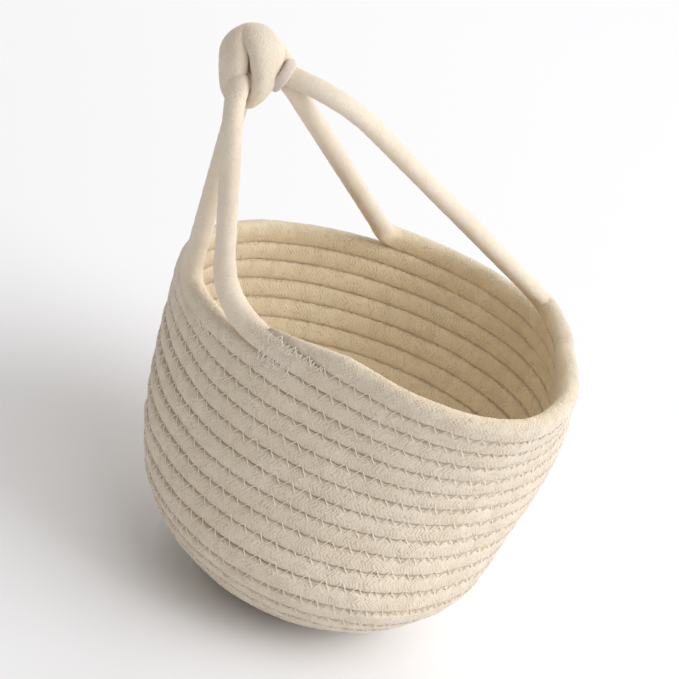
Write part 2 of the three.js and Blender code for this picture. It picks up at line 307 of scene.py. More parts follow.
class GeometryRule(Graph):
    """A Geometry Nodes tree with named inputs, and what is needed to run it on a mesh."""

    def __init__(self, name: str, inputs: dict[str, float]) -> None:
        """Make an empty tree with a material among its inputs.

        Args:
            name: The tree's name.
            inputs: The values that its numbers have unless changed. A whole one makes a
                whole-number input.
        """
        super().__init__(bpy.data.node_groups.new(name, "GeometryNodeTree"))
        face = self.tree.interface
        shape = {"name": "Geometry", "socket_type": "NodeSocketGeometry"}
        face.new_socket(in_out="INPUT", **shape)
        self.keys: dict[str, str] = {}
        for label, value in {**inputs, "Material": None}.items():
            kinds = {int: "NodeSocketInt", float: "NodeSocketFloat"}
            kind = kinds.get(type(value), "NodeSocketMaterial")
            socket = face.new_socket(name=label, in_out="INPUT", socket_type=kind)
            if value is not None:
                socket.default_value = value
            self.keys[label] = socket.identifier
        face.new_socket(in_out="OUTPUT", **shape)
        self.given = self.node("NodeGroupInput").output

    def named(self, name: str, kind: str = "FLOAT") -> Wire:
        """Read an attribute of the mesh."""
        settings = {"data_type": kind}
        return self.node("GeometryNodeInputNamedAttribute", settings, {"Name": name}, "Attribute")

    def store(self, geometry: Wire, name: str, value: Wire, kind: str, domain: str) -> Wire:
        """Store an attribute on the mesh."""
        return self.node(
            "GeometryNodeStoreNamedAttribute",
            {"data_type": kind, "domain": domain},
            {"Geometry": geometry, "Name": name, "Value": value},
        )

    def finish(self, geometry: Wire) -> None:
        """End the tree in smooth, plain geometry with its material."""
        smooth = self.node("GeometryNodeSetShadeSmooth", None, {"Geometry": geometry})
        plain = self.node("GeometryNodeRealizeInstances", None, {"Geometry": smooth})
        inputs = {"Geometry": plain, "Material": self.given("Material")}
        dressed = self.node("GeometryNodeSetMaterial", None, inputs)
        self.node("NodeGroupOutput", None, {0: dressed})

    def run(self, name: str, host: bpy.types.Mesh, values: dict[str, object]) -> bpy.types.Object:
        """Run the tree on a mesh and keep the result as a plain mesh.

        Args:
            name: The new piece's name.
            host: The mesh that carries the points and their attributes.
            values: The inputs that differ from the tree's own.

        Returns:
            The new piece.
        """
        carrier = link(name + "_carrier", host)
        modifier = carrier.modifiers.new("rule", "NODES")
        modifier.node_group = self.tree
        for label, value in values.items():
            modifier[self.keys[label]] = value
        graph = bpy.context.evaluated_depsgraph_get()
        mesh = bpy.data.meshes.new_from_object(
            carrier.evaluated_get(graph), preserve_all_data_layers=True, depsgraph=graph
        )
        mesh.name = name
        carrier.modifiers.remove(modifier)
        bpy.data.objects.remove(carrier)
        bpy.data.meshes.remove(host)
        return link(name, mesh)


@dataclass(frozen=True)
class Swing:
    """A change that is greatest on one side of the basket.

    Attributes:
        size: The change on that side.
        side: The angle of that side.
        waves: How often it comes back round the basket.
    """

    size: float
    side: float
    waves: int = 1

    def at(self, angle: np.ndarray) -> np.ndarray:
        """Give the change at an angle."""
        return self.size * np.cos(np.radians(self.waves * (angle - self.side)))


@dataclass(frozen=True)
class Sway:
    """A correction of the wall about one side of the basket, as the photograph shows it.

    Attributes:
        side: The angle of that side.
        spread: How far round it reaches to both sides, in degrees.
        downs: How far down the wall its values stand.
        outward: The move outward at each of them.
        upward: The move upward at the first of them, and the last value from there on.
    """

    side: float
    spread: float
    downs: tuple[float, ...]
    outward: tuple[float, ...]
    upward: tuple[float, ...] = (0.0,)

    def at(self, angle: np.ndarray, down: np.ndarray) -> tuple[np.ndarray, np.ndarray]:
        """Give the moves outward and upward at places on the wall."""
        half = FULL_TURN / 2
        off = np.abs(np.mod(angle - self.side + half, FULL_TURN) - half)
        share = np.cos(np.minimum(off / self.spread, 1.0) * math.pi / 2) ** 2
        outward = np.interp(down, self.downs, self.outward)
        upward = np.interp(down, self.downs[: len(self.upward)], self.upward)
        return outward * share, upward * share


@dataclass(frozen=True)
class Wall:
    """The basket's wall and base as the rope's middle line runs in them.

    The wall is followed from the rim down, in stretches whose lean off upright changes evenly.
    """

    wall_slant: float = 75.9
    knee_slant: float = 10.0
    bowl_slant: float = 34.5
    foot_slant: float = 5.6
    foot_radius: float = 20.9
    spiral_radius: float = 2.5
    rim_lean: float = -3.6
    wall_lean: float = 21.6
    knee_lean: float = 36.8
    foot_lean: float = 62.0
    base_lean: float = 90.0
    base_height: float = 2.46
    rim_swings: tuple[Swing, ...] = (Swing(13.2, -68.3), Swing(8.4, 115.9, 2), Swing(6.1, 81.6, 3))
    wall_swings: tuple[Swing, ...] = (Swing(35.4, 105.1), Swing(3.0, -56.6, 2))
    knee_shift: Swing = Swing(4.8, 38.7)
    steps: int = 72
    sways: tuple[Sway, ...] = (
        Sway(
            186.0,
            52.0,
            (
                0, 11.8, 18.2, 25.2, 32.2, 39.3, 46.3, 53.3,
                60.3, 67.4, 74.5, 81.5, 88.5, 97, 106, 122,
            ),
            (-1.4, -1.3, -3.8, -4.4, -4.5, -3.6, -2.4, -1, 0.4, 1.6, 2.1, 2.7, 2.9, 2.5, 1.5, 0),
            (0, 0, 0.7, 1, 0.9, 0.7, 0.4, 0.2, 0),
        ),
        Sway(
            14.0,
            58.0,
            (2, 8, 15, 22, 29, 36, 50, 57, 64, 71, 78, 85, 92, 100, 110, 122),
            (0, 0.8, 2, 3, 3.6, 3.7, 3.3, 2.8, 2.6, 2.9, 3.2, 3, 2.6, 2, 1, 0),
        ),
        Sway(225.0, 75.0, (72, 81.5, 88.5, 97, 106, 114, 122), (0, 1, 2.2, 3.2, 3, 1.5, 0)),
        Sway(300.0, 70.0, (78, 90, 100, 110, 122), (0, 1.4, 2, 1.3, 0)),
        Sway(62.0, 45.0, (0, 10, 25, 40), (-1.6, -1.6, -0.5, 0), (-0.8, -0.8, 0)),
    )

    @property
    def slant_to_base(self) -> float:
        """The way from the rim down to where the flat base begins."""
        return self.wall_slant + self.knee_slant + self.bowl_slant + self.foot_slant

    @property
    def slant_to_spiral(self) -> float:
        """The way from the rim down and inward to where the rope starts."""
        return self.slant_to_base + self.foot_radius - self.spiral_radius

    def lean(self, angle: np.ndarray, down: np.ndarray) -> np.ndarray:
        """Give how far the wall leans off upright, in degrees."""
        rim = self.rim_lean + sum(swing.at(angle) for swing in self.rim_swings)
        foot = self.wall_lean + sum(swing.at(angle) for swing in self.wall_swings)
        first = self.wall_slant + self.knee_shift.at(angle)
        second = first + self.knee_slant
        third = self.slant_to_base - self.foot_slant
        along_knee = (down - first) / self.knee_slant
        along_bowl = (down - second) / (third - second)
        along_foot = (down - third) / self.foot_slant
        return np.select(
            [down < first, down < second, down < third, down < self.slant_to_base],
            [
                rim + (foot - rim) * down / first,
                foot + (self.knee_lean - foot) * along_knee,
                self.knee_lean + (self.foot_lean - self.knee_lean) * along_bowl,
                self.foot_lean + (self.base_lean - self.foot_lean) * along_foot,
            ],
            self.base_lean,
        )

    @cached_property
    def tables(self) -> tuple[np.ndarray, np.ndarray]:
        """Radius and height at each degree round and each step down, summed from the base up."""
        angle = np.arange(FULL_TURN + 1)[:, None]
        step = self.slant_to_base / self.steps
        middle = (np.arange(self.steps) + 0.5)[None, :] * step
        lean = np.radians(self.lean(angle, middle))

        def summed(start: float, parts: np.ndarray) -> np.ndarray:
            """Add up the parts from the base to each step."""
            sums = np.cumsum((step * parts)[:, ::-1], axis=1)[:, ::-1]
            return start + np.hstack([sums, np.zeros((len(angle), 1))])

        return summed(self.foot_radius, np.sin(lean)), summed(self.base_height, np.cos(lean))

    def _read(self, table: np.ndarray, angle: np.ndarray, down: np.ndarray) -> np.ndarray:
        """Read a table between its degrees and steps."""
        turned = np.mod(angle, FULL_TURN)
        degree = np.floor(turned).astype(int)
        share = turned - degree
        step = self.slant_to_base / self.steps
        row = np.clip(np.floor(down / step), 0, self.steps - 1).astype(int)
        part = np.minimum(down, self.slant_to_base) / step - row

        def on_degree(at: np.ndarray) -> np.ndarray:
            """Read between two steps of one degree."""
            return table[at, row] * (1 - part) + table[at, row + 1] * part

        return on_degree(degree) * (1 - share) + on_degree(degree + 1) * share

    def frame(self, angle: np.ndarray, down: np.ndarray) -> tuple[np.ndarray, np.ndarray]:
        """Give the wall's place and its direction out of the body.

        Args:
            angle: Where round the basket.
            down: How far down the wall, and then inward over the base.

        Returns:
            Places and directions, one row each.
        """
        radii, heights = self.tables
        past = np.maximum(down - self.slant_to_base, 0.0)
        radius = self._read(radii, angle, down) - past
        height = self._read(heights, angle, down)
        for sway in self.sways:
            outward, upward = sway.at(angle, down)
            radius, height = radius + outward, height + upward
        turn = np.radians(angle)
        outward = np.stack([np.cos(turn), np.sin(turn), np.zeros_like(turn)], axis=-1)
        lean = np.radians(self.lean(angle, down))[..., None]
        out = outward * np.cos(lean) - UP * np.sin(lean)
        return outward * radius[..., None] + UP * height[..., None], out


@dataclass(frozen=True)
class Landing:
    """A place where the rope leaves the rim or lands on it again.

    Attributes:
        angle: The angle of the rope's corner there.
        bend: From the corner to where the bend starts, on both sides.
        sense: -1 where the rope climbs from the rim to the knot, and 1 where it comes down.
    """

    angle: float
    bend: float
    sense: int


FAR_LEFT = Landing(551.0, 12.0, -1)
BACK = Landing(459.8, 7.0, 1)
NEAR_LEFT = Landing(212.0, 20.0, -1)
RIGHT = Landing(52.5, 12.0, 1)


@dataclass(frozen=True)
class Coil:
    """The rule by which the rope climbs round the wall.

    Attributes:
        wall: The wall that it climbs.
        pitch: From row to row, the rope's own thickness.
        level_angle: Row numbers are whole at minus this angle.
        shift: The move that puts the part's origin under the first turn.
        peek: The rope's direction is measured over this angle to both sides.
        stitch: The length of one whole zigzag of the sewing.
        fine: The step at which the rope's length is summed.
        tail_tip: The angle at which the rope ends on the rim.
    """

    wall: Wall = field(default_factory=Wall)
    pitch: float = 7.0
    level_angle: float = 37.3
    shift: Triple = (0.52, -4.22, 0.0)
    peek: float = 0.5
    stitch: float = 5.4
    fine: float = 0.5
    tail_tip: float = -130.0

    @property
    def start(self) -> float:
        """The angle at which the rope starts, in the middle of the base."""
        return FULL_TURN * self.wall.slant_to_spiral / self.pitch - self.level_angle

    @cached_property
    def spans(self) -> dict[str, Pair]:
        """The high and low angle of each coiled stretch of rope, from the base up."""
        return {
            "body_rope": (self.start, self.rim_angle(FAR_LEFT)),
            "middle_turn_rope": (self.rim_angle(BACK), self.rim_angle(NEAR_LEFT)),
            "top_turn_rope": (self.rim_angle(RIGHT), self.tail_tip),
        }

    def frame(self, angle: np.ndarray, rows: float = 0.0) -> tuple[np.ndarray, np.ndarray]:
        """Give the rope's place and its direction out of the body, or those some rows below."""
        down = self.pitch * ((angle + self.level_angle) / FULL_TURN + rows)
        place, out = self.wall.frame(angle, down)
        return place + np.array(self.shift), out

    def ways(self, angle: np.ndarray, rows: float = 0.0) -> tuple[np.ndarray, ...]:
        """Give the rope's own directions: climbing, out of the body, and to the row above."""
        ahead, behind = (self.frame(angle + turn, rows)[0] for turn in (-self.peek, self.peek))
        climb = unit(ahead - behind)
        out = across(self.frame(angle, rows)[1], climb)
        return climb, out, np.cross(climb, out)

    def arc_angle(self, angle: float, length: float) -> float:
        """Give the angle that a length along the rope takes up at one place."""
        here = self.frame(np.array([angle]))[0][0] - np.array(self.shift)
        return math.degrees(length / math.hypot(here[0], here[1]))

    def rim_angle(self, landing: Landing) -> float:
        """Give the angle at which the coil ends and a landing's bend begins."""
        return landing.angle - landing.sense * self.arc_angle(landing.angle, landing.bend)

    @cached_property
    def _lengths(self) -> tuple[np.ndarray, np.ndarray]:
        """Angles from the start to a turn past the tail's tip, with the length up to each."""
        count = int((self.start - self.tail_tip + FULL_TURN) / self.fine)
        angle = np.linspace(self.start, self.tail_tip - FULL_TURN, count)
        return angle, way_along(self.frame(angle)[0])

    def length_at(self, angle: np.ndarray) -> np.ndarray:
        """Give the length along the coil from its start."""
        angles, lengths = self._lengths
        return np.interp(-angle, -angles, lengths)

    def angle_at(self, length: np.ndarray) -> np.ndarray:
        """Give the angle at a length along the coil."""
        angles, lengths = self._lengths
        return np.interp(length, lengths, angles)

    def stitch_count(self, angle: np.ndarray) -> np.ndarray:
        """Count zigzags of the seam below the rope at an angle, from the rope's start."""
        return self.length_at(angle) / self.stitch


@dataclass(frozen=True)
class Section:
    """The rope's cross-section.

    Attributes:
        half_width: Half its size toward its neighbours.
        half_depth: Half its size through the wall.
        power: 2 for an ellipse, and more for a squarer shape.
    """

    half_width: float
    half_depth: float
    power: float

    def surface(self, aside: float | np.ndarray) -> np.ndarray:
        """Give the half depth at a distance aside of the middle."""
        share = np.minimum(np.abs(aside) / self.half_width, 1.0)
        return self.half_depth * (1.0 - share**self.power) ** (1.0 / self.power)


PRESSED = Section(3.64, 3.12, 3.9)
ROUND = Section(3.2, 3.2, 2.0)


@dataclass
class Stretch:
    """A stretch of rope as rings on its middle line.

    Attributes:
        points: The middle line.
        wide: For each point, the direction of the section's width, to the row above.
        deep: For each point, the direction of its depth.
        half_width: Half the width at each point.
        half_depth: Half the depth at each point.
        power: How square the section is at each point.
        way: The length along the whole rope at each point.
        low_seam: Zigzags of the seam toward the row below.
        high_seam: Zigzags of the seam toward the row above.
        low_pull: 1 where that seam is sewn, and 0 where there is none.
        high_pull: The same for the seam above.
        lining: How much of the inside's tint the half that faces inward takes.
        floor: Nothing of the stretch reaches below this height.
        LENGTHS: The names of those values that are lengths.
        LIP: A flat end stands out by this much, so that its edge stays closed.
        CAP_RINGS: How many rings a rounded end gets.
    """

    points: np.ndarray
    wide: np.ndarray
    deep: np.ndarray
    half_width: np.ndarray
    half_depth: np.ndarray
    power: np.ndarray
    way: np.ndarray
    low_seam: np.ndarray | None = None
    high_seam: np.ndarray | None = None
    low_pull: np.ndarray | None = None
    high_pull: np.ndarray | None = None
    lining: np.ndarray | None = None
    floor: float = -1000.0

    LENGTHS = ("half_width", "half_depth", "way")
    LIP = 0.04
    CAP_RINGS = 5

    def __post_init__(self) -> None:
        """Put zeros where no seam and no lining is given."""
        for name, values in self.arrays.items():
            if values is None:
                setattr(self, name, np.zeros(len(self.points)))

    @property
    def arrays(self) -> dict[str, np.ndarray]:
        """Everything that changes from ring to ring, by its name."""
        names = [item.name for item in fields(self) if item.name != "floor"]
        return {name: getattr(self, name) for name in names}

    @classmethod
    def along(
        cls, points: np.ndarray, deep: np.ndarray, sizes: Sequence[np.ndarray], start_way: float
    ) -> "Stretch":
        """Make a stretch without seams.

        Args:
            points: Its middle line.
            deep: Directions near that of its depth.
            sizes: Half width, half depth and power at each point.
            start_way: The length of rope that lies before it.

        Returns:
            The stretch, still open at both ends.
        """
        tangents = unit(np.gradient(points, axis=0))
        deep = across(deep, tangents)
        return cls(points, np.cross(tangents, deep), deep, *sizes, start_way + way_along(points))

    def _picked(self, rows: np.ndarray) -> "Stretch":
        """Give the stretch with some of its rings, in the order asked for."""
        return replace(self, **{name: values[rows] for name, values in self.arrays.items()})

    def capped(self, start: float, end: float) -> "Stretch":
        """Close both ends.

        Args:
            start: How far the first end's cap stands out, or 0 for a flat one behind a lip.
            end: The same for the last end.

        Returns:
            The closed stretch.
        """
        quarter = math.pi / 2
        caps = []
        for at, before, bulge in ((0, 1, start), (-1, -2, end)):
            rounded = np.linspace(0.0, quarter, self.CAP_RINGS + 1)[1:]
            angles = rounded if bulge else np.array([0.0, quarter])
            rise = bulge * np.sin(angles) if bulge else np.full(2, self.LIP)
            cap = self._picked(np.full(len(angles), at))
            tangent = unit(self.points[at] - self.points[before])
            cap.points = cap.points + tangent * rise[:, None]
            cap.half_width = cap.half_width * np.cos(angles)
            cap.half_depth = cap.half_depth * np.cos(angles)
            caps.append(cap)
        first = caps[0]._picked(np.arange(len(caps[0].points))[::-1])
        whole = [part.arrays for part in (first, self, caps[1])]
        joined = {name: np.concatenate([part[name] for part in whole]) for name in whole[0]}
        return replace(self, **joined)

    def host(self, name: str) -> bpy.types.Mesh:
        """Make the mesh of points that the rope's rule runs on, in metres."""
        values = self.arrays
        points = values.pop("points") * MILLIMETRE
        for label in self.LENGTHS:
            values[label] = values[label] * MILLIMETRE
        return points_mesh(name, points, values)


class RopeRule(GeometryRule):
    """Sweeps the rope's section along a stretch, with the dents that its stitches pull.

    Attributes:
        GROOVE_START: The needle holes pull from this share of the half width on.
        GROOVE_SLOPE: How steeply their pull rises from there.
        LINING_EDGE: The inside's tint fades this far to both sides of the row's edge.
        THIN: The half width in metres times this is the share of the lumps, up to 1.
        WELD: Points that are closer than this, in metres, become one.
    """

    GROOVE_START = 0.12
    GROOVE_SLOPE = 2.6
    LINING_EDGE = 0.35
    THIN = 1000.0
    WELD = 1e-6

    def __init__(self) -> None:
        """Build the tree."""
        super().__init__(
            "rope_sweep",
            {
                "Sides": 16,
                "Dent": 0.06,
                "Dent Sharpness": 3.0,
                "Wander": 0.0001,
                "Inner Share": 0.35,
                "Free Power": 2.3,
                "Lumps": 0.00016,
                "Lump Scale": 420.0,
                "Floor": -1.0,
            },
        )
        given = self.given
        self.line = given("Geometry")
        mesh = {"component": "MESH"}
        rings = self.node(
            "GeometryNodeAttributeDomainSize", mesh, {"Geometry": self.line}, "Point Count"
        )
        columns = given("Sides") + 1.0
        counts = {"Vertices X": rings, "Vertices Y": columns}
        grid = self.node("GeometryNodeMeshGrid", None, counts, "Mesh")
        index = self.node("GeometryNodeInputIndex")
        self.ring = (index / columns).floor()
        turn = (index - self.ring * columns) / given("Sides")
        around = turn.fraction() * RADIANS
        cosine, sine = around.cosine(), around.sine()
        position = self._place(cosine, sine)
        way_and_turn = self._vector(X=self._sampled("way"), Y=turn)
        on_points = {"data_type": "FLOAT_VECTOR", "domain": "POINT"}
        jacket = self.node("GeometryNodeFieldOnDomain", on_points, {0: way_and_turn})
        lining = self._sampled("lining")
        faces_in = ((self.LINING_EDGE - sine) / (2 * self.LINING_EDGE)).within(0.0, 1.0)
        stored = self.store(grid, "Jacket", jacket, "FLOAT2", "CORNER")
        stored = self.store(stored, "Lining", faces_in * lining, "FLOAT", "POINT")
        stored = self.store(stored, "Sewn", lining, "FLOAT", "POINT")
        moved = {"Geometry": stored, "Position": position}
        swept = self.node("GeometryNodeSetPosition", None, moved)
        near = {"Geometry": swept, "Distance": self.WELD}
        self.finish(self.node("GeometryNodeMergeByDistance", None, near))

    def _vector(self, **parts: Wire) -> Wire:
        """Join numbers to a vector."""
        return self.node("ShaderNodeCombineXYZ", None, parts)

    def _sampled(self, name: str, kind: str = "FLOAT") -> Wire:
        """Read a value of the ring that a point of the grid belongs to."""
        here = name == "position"
        value = self.node("GeometryNodeInputPosition") if here else self.named(name, kind)
        return self.node(
            "GeometryNodeSampleIndex",
            {"data_type": kind, "domain": "POINT"},
            {"Geometry": self.line, "Value": value, "Index": self.ring},
        )

    def _place(self, cosine: Wire, sine: Wire) -> Wire:
        """Give the rope's surface at an angle round it, dented, lumpy and above the floor."""
        given = self.given
        upper = cosine.above(0.0)
        power = self._sampled("power")
        free = upper * (1.0 - self._sampled("high_pull"))
        bend = 2.0 / (power - (power - given("Free Power")).at_least(0.0) * free)
        aside = cosine.sign() * abs(cosine) ** bend
        out = sine.sign() * abs(sine) ** bend
        pulls, bows = [], []
        for name, toward, offset in (("low", 1.0 - upper, 0.0), ("high", upper, 0.5)):
            seam = self._sampled(name + "_seam")
            sewn = self._sampled(name + "_pull") * toward
            hole = ((seam - offset) * RADIANS).cosine().at_least(0.0) ** given("Dent Sharpness")
            pulls.append(hole * sewn)
            bows.append((seam * RADIANS).cosine() * sewn)
        shown = given("Inner Share") + (1.0 - given("Inner Share")) * sine.above(0.0)
        groove = ((abs(aside) - self.GROOVE_START) * self.GROOVE_SLOPE).within(0.0, 1.0) * shown
        squeeze = 1.0 - given("Dent") * (pulls[0] + pulls[1]) * groove
        wander = (bows[0] + bows[1]) * given("Wander") * groove
        half_width, half_depth = self._sampled("half_width"), self._sampled("half_depth")
        middle, wide, deep = (
            self._sampled(name, "FLOAT_VECTOR") for name in ("position", "wide", "deep")
        )
        ellipse = self.summed(
            middle, self.scaled(wide, cosine * half_width), self.scaled(deep, sine * half_depth)
        )
        full = (half_width * self.THIN).at_most(1.0)
        noise = self.noise(ellipse, given("Lump Scale"), 1.0)
        lump = (noise - 0.5) * 2.0 * given("Lumps") * full
        place = self.summed(
            middle,
            self.scaled(wide, aside * half_width + cosine * lump + wander),
            self.scaled(deep, out * half_depth * squeeze + sine * lump),
        )
        apart = self.node("ShaderNodeSeparateXYZ", None, {0: place}).output
        return self._vector(X=apart("X"), Y=apart("Y"), Z=apart("Z").at_least(given("Floor")))


@dataclass
class Strokes:
    """Straight strokes of thread.

    Attributes:
        starts: Where each stroke comes out of the rope.
        ends: Where each goes in again.
        outs: For each stroke, the direction away from the rope.
    """

    starts: np.ndarray
    ends: np.ndarray
    outs: np.ndarray

    def host(self, name: str) -> bpy.types.Mesh:
        """Make the mesh of points that the stroke rule runs on, in metres."""
        middles = (self.starts + self.ends) / 2 * MILLIMETRE
        strokes = (self.ends - self.starts) * MILLIMETRE
        return points_mesh(name, middles, {"stroke": strokes, "outward": self.outs})

    @classmethod
    def joined(cls, sets: Sequence["Strokes"]) -> "Strokes":
        """Put sets of strokes together."""
        return cls(*(np.vstack([getattr(one, item.name) for one in sets]) for item in fields(cls)))


class StrokeRule(GeometryRule):
    """Lays one arched stroke of thread on every point.

    Attributes:
        HALF: Half the stroke's length.
        HANDLE: From the stroke's middle to the handles of its arch, in the same measure.
        HEIGHTS: The least and greatest height of a stroke, as a share of the rise.
    """

    HALF = 0.5
    HANDLE = 0.4
    HEIGHTS = (0.75, 1.25)

    def __init__(self) -> None:
        """Build the tree."""
        super().__init__(
            "thread_strokes",
            {
                "Thread Radius": 0.00018,
                "Rise": 0.00012,
                "Sink": 0.0007,
                "Sides": 5,
                "Bends": 5,
                "Seed": 4,
            },
        )
        given = self.given
        stroke = self.named("stroke", "FLOAT_VECTOR")
        sink, rise = given("Sink") * -1.0, given("Rise")
        inputs = {"Resolution": given("Bends")}
        for name, x, z in (
            ("Start", -self.HALF, sink),
            ("Start Handle", -self.HANDLE, rise),
            ("End Handle", self.HANDLE, rise),
            ("End", self.HALF, sink),
        ):
            inputs[name] = self.node("ShaderNodeCombineXYZ", None, {"X": x, "Z": z})
        arch = self.node("GeometryNodeCurvePrimitiveBezierSegment", {"mode": "POSITION"}, inputs)
        circle = {"Resolution": given("Sides"), "Radius": given("Thread Radius")}
        ring = self.node("GeometryNodeCurvePrimitiveCircle", {"mode": "RADIUS"}, circle)
        sweep = {"Curve": arch, "Profile Curve": ring, "Fill Caps": True}
        thread = self.node("GeometryNodeCurveToMesh", None, sweep)
        align = "FunctionNodeAlignRotationToVector"
        turned = self.node(align, {"axis": "X"}, {"Vector": stroke})
        outward = self.named("outward", "FLOAT_VECTOR")
        about = {"axis": "Z", "pivot_axis": "X"}
        faced = self.node(align, about, {"Rotation": turned, "Vector": outward})
        least, most = self.HEIGHTS
        span = {"Min": least, "Max": most, "Seed": given("Seed")}
        height = self.node("FunctionNodeRandomValue", {"data_type": "FLOAT"}, span, 1)
        sizes = {"X": self.length(stroke), "Y": 1.0, "Z": height}
        size = self.node("ShaderNodeCombineXYZ", None, sizes)
        laid = {"Points": given("Geometry"), "Instance": thread, "Rotation": faced, "Scale": size}
        self.finish(self.node("GeometryNodeInstanceOnPoints", None, laid))


@dataclass(frozen=True)
class CottonFinish:
    """Undyed cotton rope with a knitted jacket, matt and slightly fluffy.

    Every grain is the scale and the detail of a noise. A step is where a noise starts to count
    and how steeply it rises from there.

    Attributes:
        name: The material's name.
        fibre: The cotton's colour where the light reaches it.
        valley: Its colour between the ribs and in the pits.
        warm: The colour of its broad, slightly yellower patches.
        inside: The tint of the side that faces inward.
        fleck: The colour of the odd bit of seed husk.
        wales: How many columns of knitted stitches run round the rope.
        rib: The length of one knitted stitch along the rope, in metres.
        slant: How far a stitch's two legs lean, in stitch lengths.
        drift: How far the stitches stray, in stitch lengths.
        rib_depth: The relief of the ribs, in metres, as of the pits and the fluff.
        plain_share: How much of the relief shows where the rope is round and not sewn.
        patch_range: The least and most of the ribs' relief.
        shades: How much the valleys, the pits and the fluff darken the colour.
        warm_most: The most that the warm patches show.
        fleck_scale: How closely the flecks may stand.
        fleck_size: Their size in the same measure.
        fleck_rarity: The share of places that stay without one.
        bump: The relief's strength.
        sheen: The fluff's sheen and how soft it is.
    """

    name: str = "cotton_rope"
    fibre: Triple = (0.785, 0.69, 0.57)
    valley: Triple = (0.56, 0.455, 0.345)
    warm: Triple = (0.66, 0.555, 0.42)
    inside: Triple = (1.1, 1.08, 0.97)
    fleck: Triple = (0.28, 0.20, 0.13)
    wales: int = 10
    rib: float = 0.0013
    slant: float = 0.95
    drift: float = 3.4
    drift_grain: Pair = (160.0, 1.0)
    rib_depth: float = 0.00021
    pit_depth: float = 0.0002
    fluff_depth: float = 0.00016
    bump: float = 0.7
    plain_share: float = 0.3
    patch_grain: Pair = (260.0, 2.0)
    patch_step: Pair = (0.3, 3.0)
    patch_range: Pair = (0.4, 1.0)
    fluff_grain: Pair = (1300.0, 3.0)
    pit_grain: Pair = (780.0, 1.5)
    pit_step: Pair = (0.57, 6.0)
    shades: Triple = (0.6, 0.35, 0.9)
    warm_grain: Pair = (62.0, 2.0)
    warm_step: Pair = (0.42, 1.6)
    warm_most: float = 0.4
    fleck_scale: float = 95.0
    fleck_size: float = 0.045
    fleck_rarity: float = 0.97
    rough: float = 0.92
    gloss: float = 0.25
    sheen: Pair = (0.4, 0.35)
    sheen_tint: Triple = (1.0, 0.97, 0.92)

    def material(self) -> bpy.types.Material:
        """Build the material."""
        made = bpy.data.materials.new(self.name)
        graph = Graph.blank(made)
        place = graph.place()

        def grown(grain: Pair, step: Pair, low: float, high: float) -> Wire:
            """Add a noise that counts from its step on, held between two numbers."""
            return ((graph.noise(place, *grain) - step[0]) * step[1]).within(low, high)

        rib = self._rib(graph, graph.noise(place, *self.drift_grain))
        shown = self.plain_share + (1.0 - self.plain_share) * graph.stored("Sewn")
        patch = grown(self.patch_grain, self.patch_step, *self.patch_range) * shown
        fluff = graph.noise(place, *self.fluff_grain)
        pits = grown(self.pit_grain, self.pit_step, 0.0, 1.0) * shown
        height = rib * patch * self.rib_depth + fluff * self.fluff_depth - pits * self.pit_depth
        relief = {"Strength": self.bump, "Distance": 1.0, "Height": height}
        in_valley, in_pit, in_fluff = self.shades
        shade = (1.0 - rib) * patch * in_valley + pits * in_pit + (0.5 - fluff) * in_fluff
        tone = graph.mixed(shade.within(0.0, 1.0), self.fibre, self.valley)
        broad = grown(self.warm_grain, self.warm_step, 0.0, self.warm_most)
        warm = graph.mixed(broad, tone, self.warm)
        lined = graph.mixed(graph.stored("Lining"), warm, self.inside, "MULTIPLY")
        shader = graph.node(
            "ShaderNodeBsdfPrincipled",
            None,
            {
                "Base Color": graph.mixed(self._flecks(graph, place), lined, self.fleck),
                "Roughness": self.rough,
                "Specular IOR Level": self.gloss,
                "Sheen Weight": self.sheen[0],
                "Sheen Roughness": self.sheen[1],
                "Sheen Tint": self.sheen_tint,
                "Normal": graph.node("ShaderNodeBump", None, relief),
            },
        )
        graph.surface(shader)
        return made

    def _rib(self, graph: Graph, drift: Wire) -> Wire:
        """Give the knitted ribs, from 0 in a valley to 1 on a ridge."""
        uv = graph.node("ShaderNodeUVMap", {"uv_map": "Jacket"}, None, "UV")
        apart = graph.node("ShaderNodeSeparateXYZ", None, {0: uv}).output
        leg = abs((apart("Y") * self.wales).fraction() * 2.0 - 1.0)
        course = apart("X") / self.rib + leg * self.slant + drift * self.drift
        return (course * RADIANS).sine() * 0.5 + 0.5

    def _flecks(self, graph: Graph, place: Wire) -> Wire:
        """Give 1 in the middle of the odd fleck and 0 beside it."""
        cells = {"Vector": place, "Scale": self.fleck_scale}
        spots = graph.node("ShaderNodeTexVoronoi", {"feature": "F1"}, cells, "Distance")
        colour = {0: spots.output("Color")}
        chosen = graph.node("ShaderNodeSeparateColor", None, colour, "Red").above(self.fleck_rarity)
        return (1.0 - (spots / self.fleck_size).at_most(1.0)) * chosen


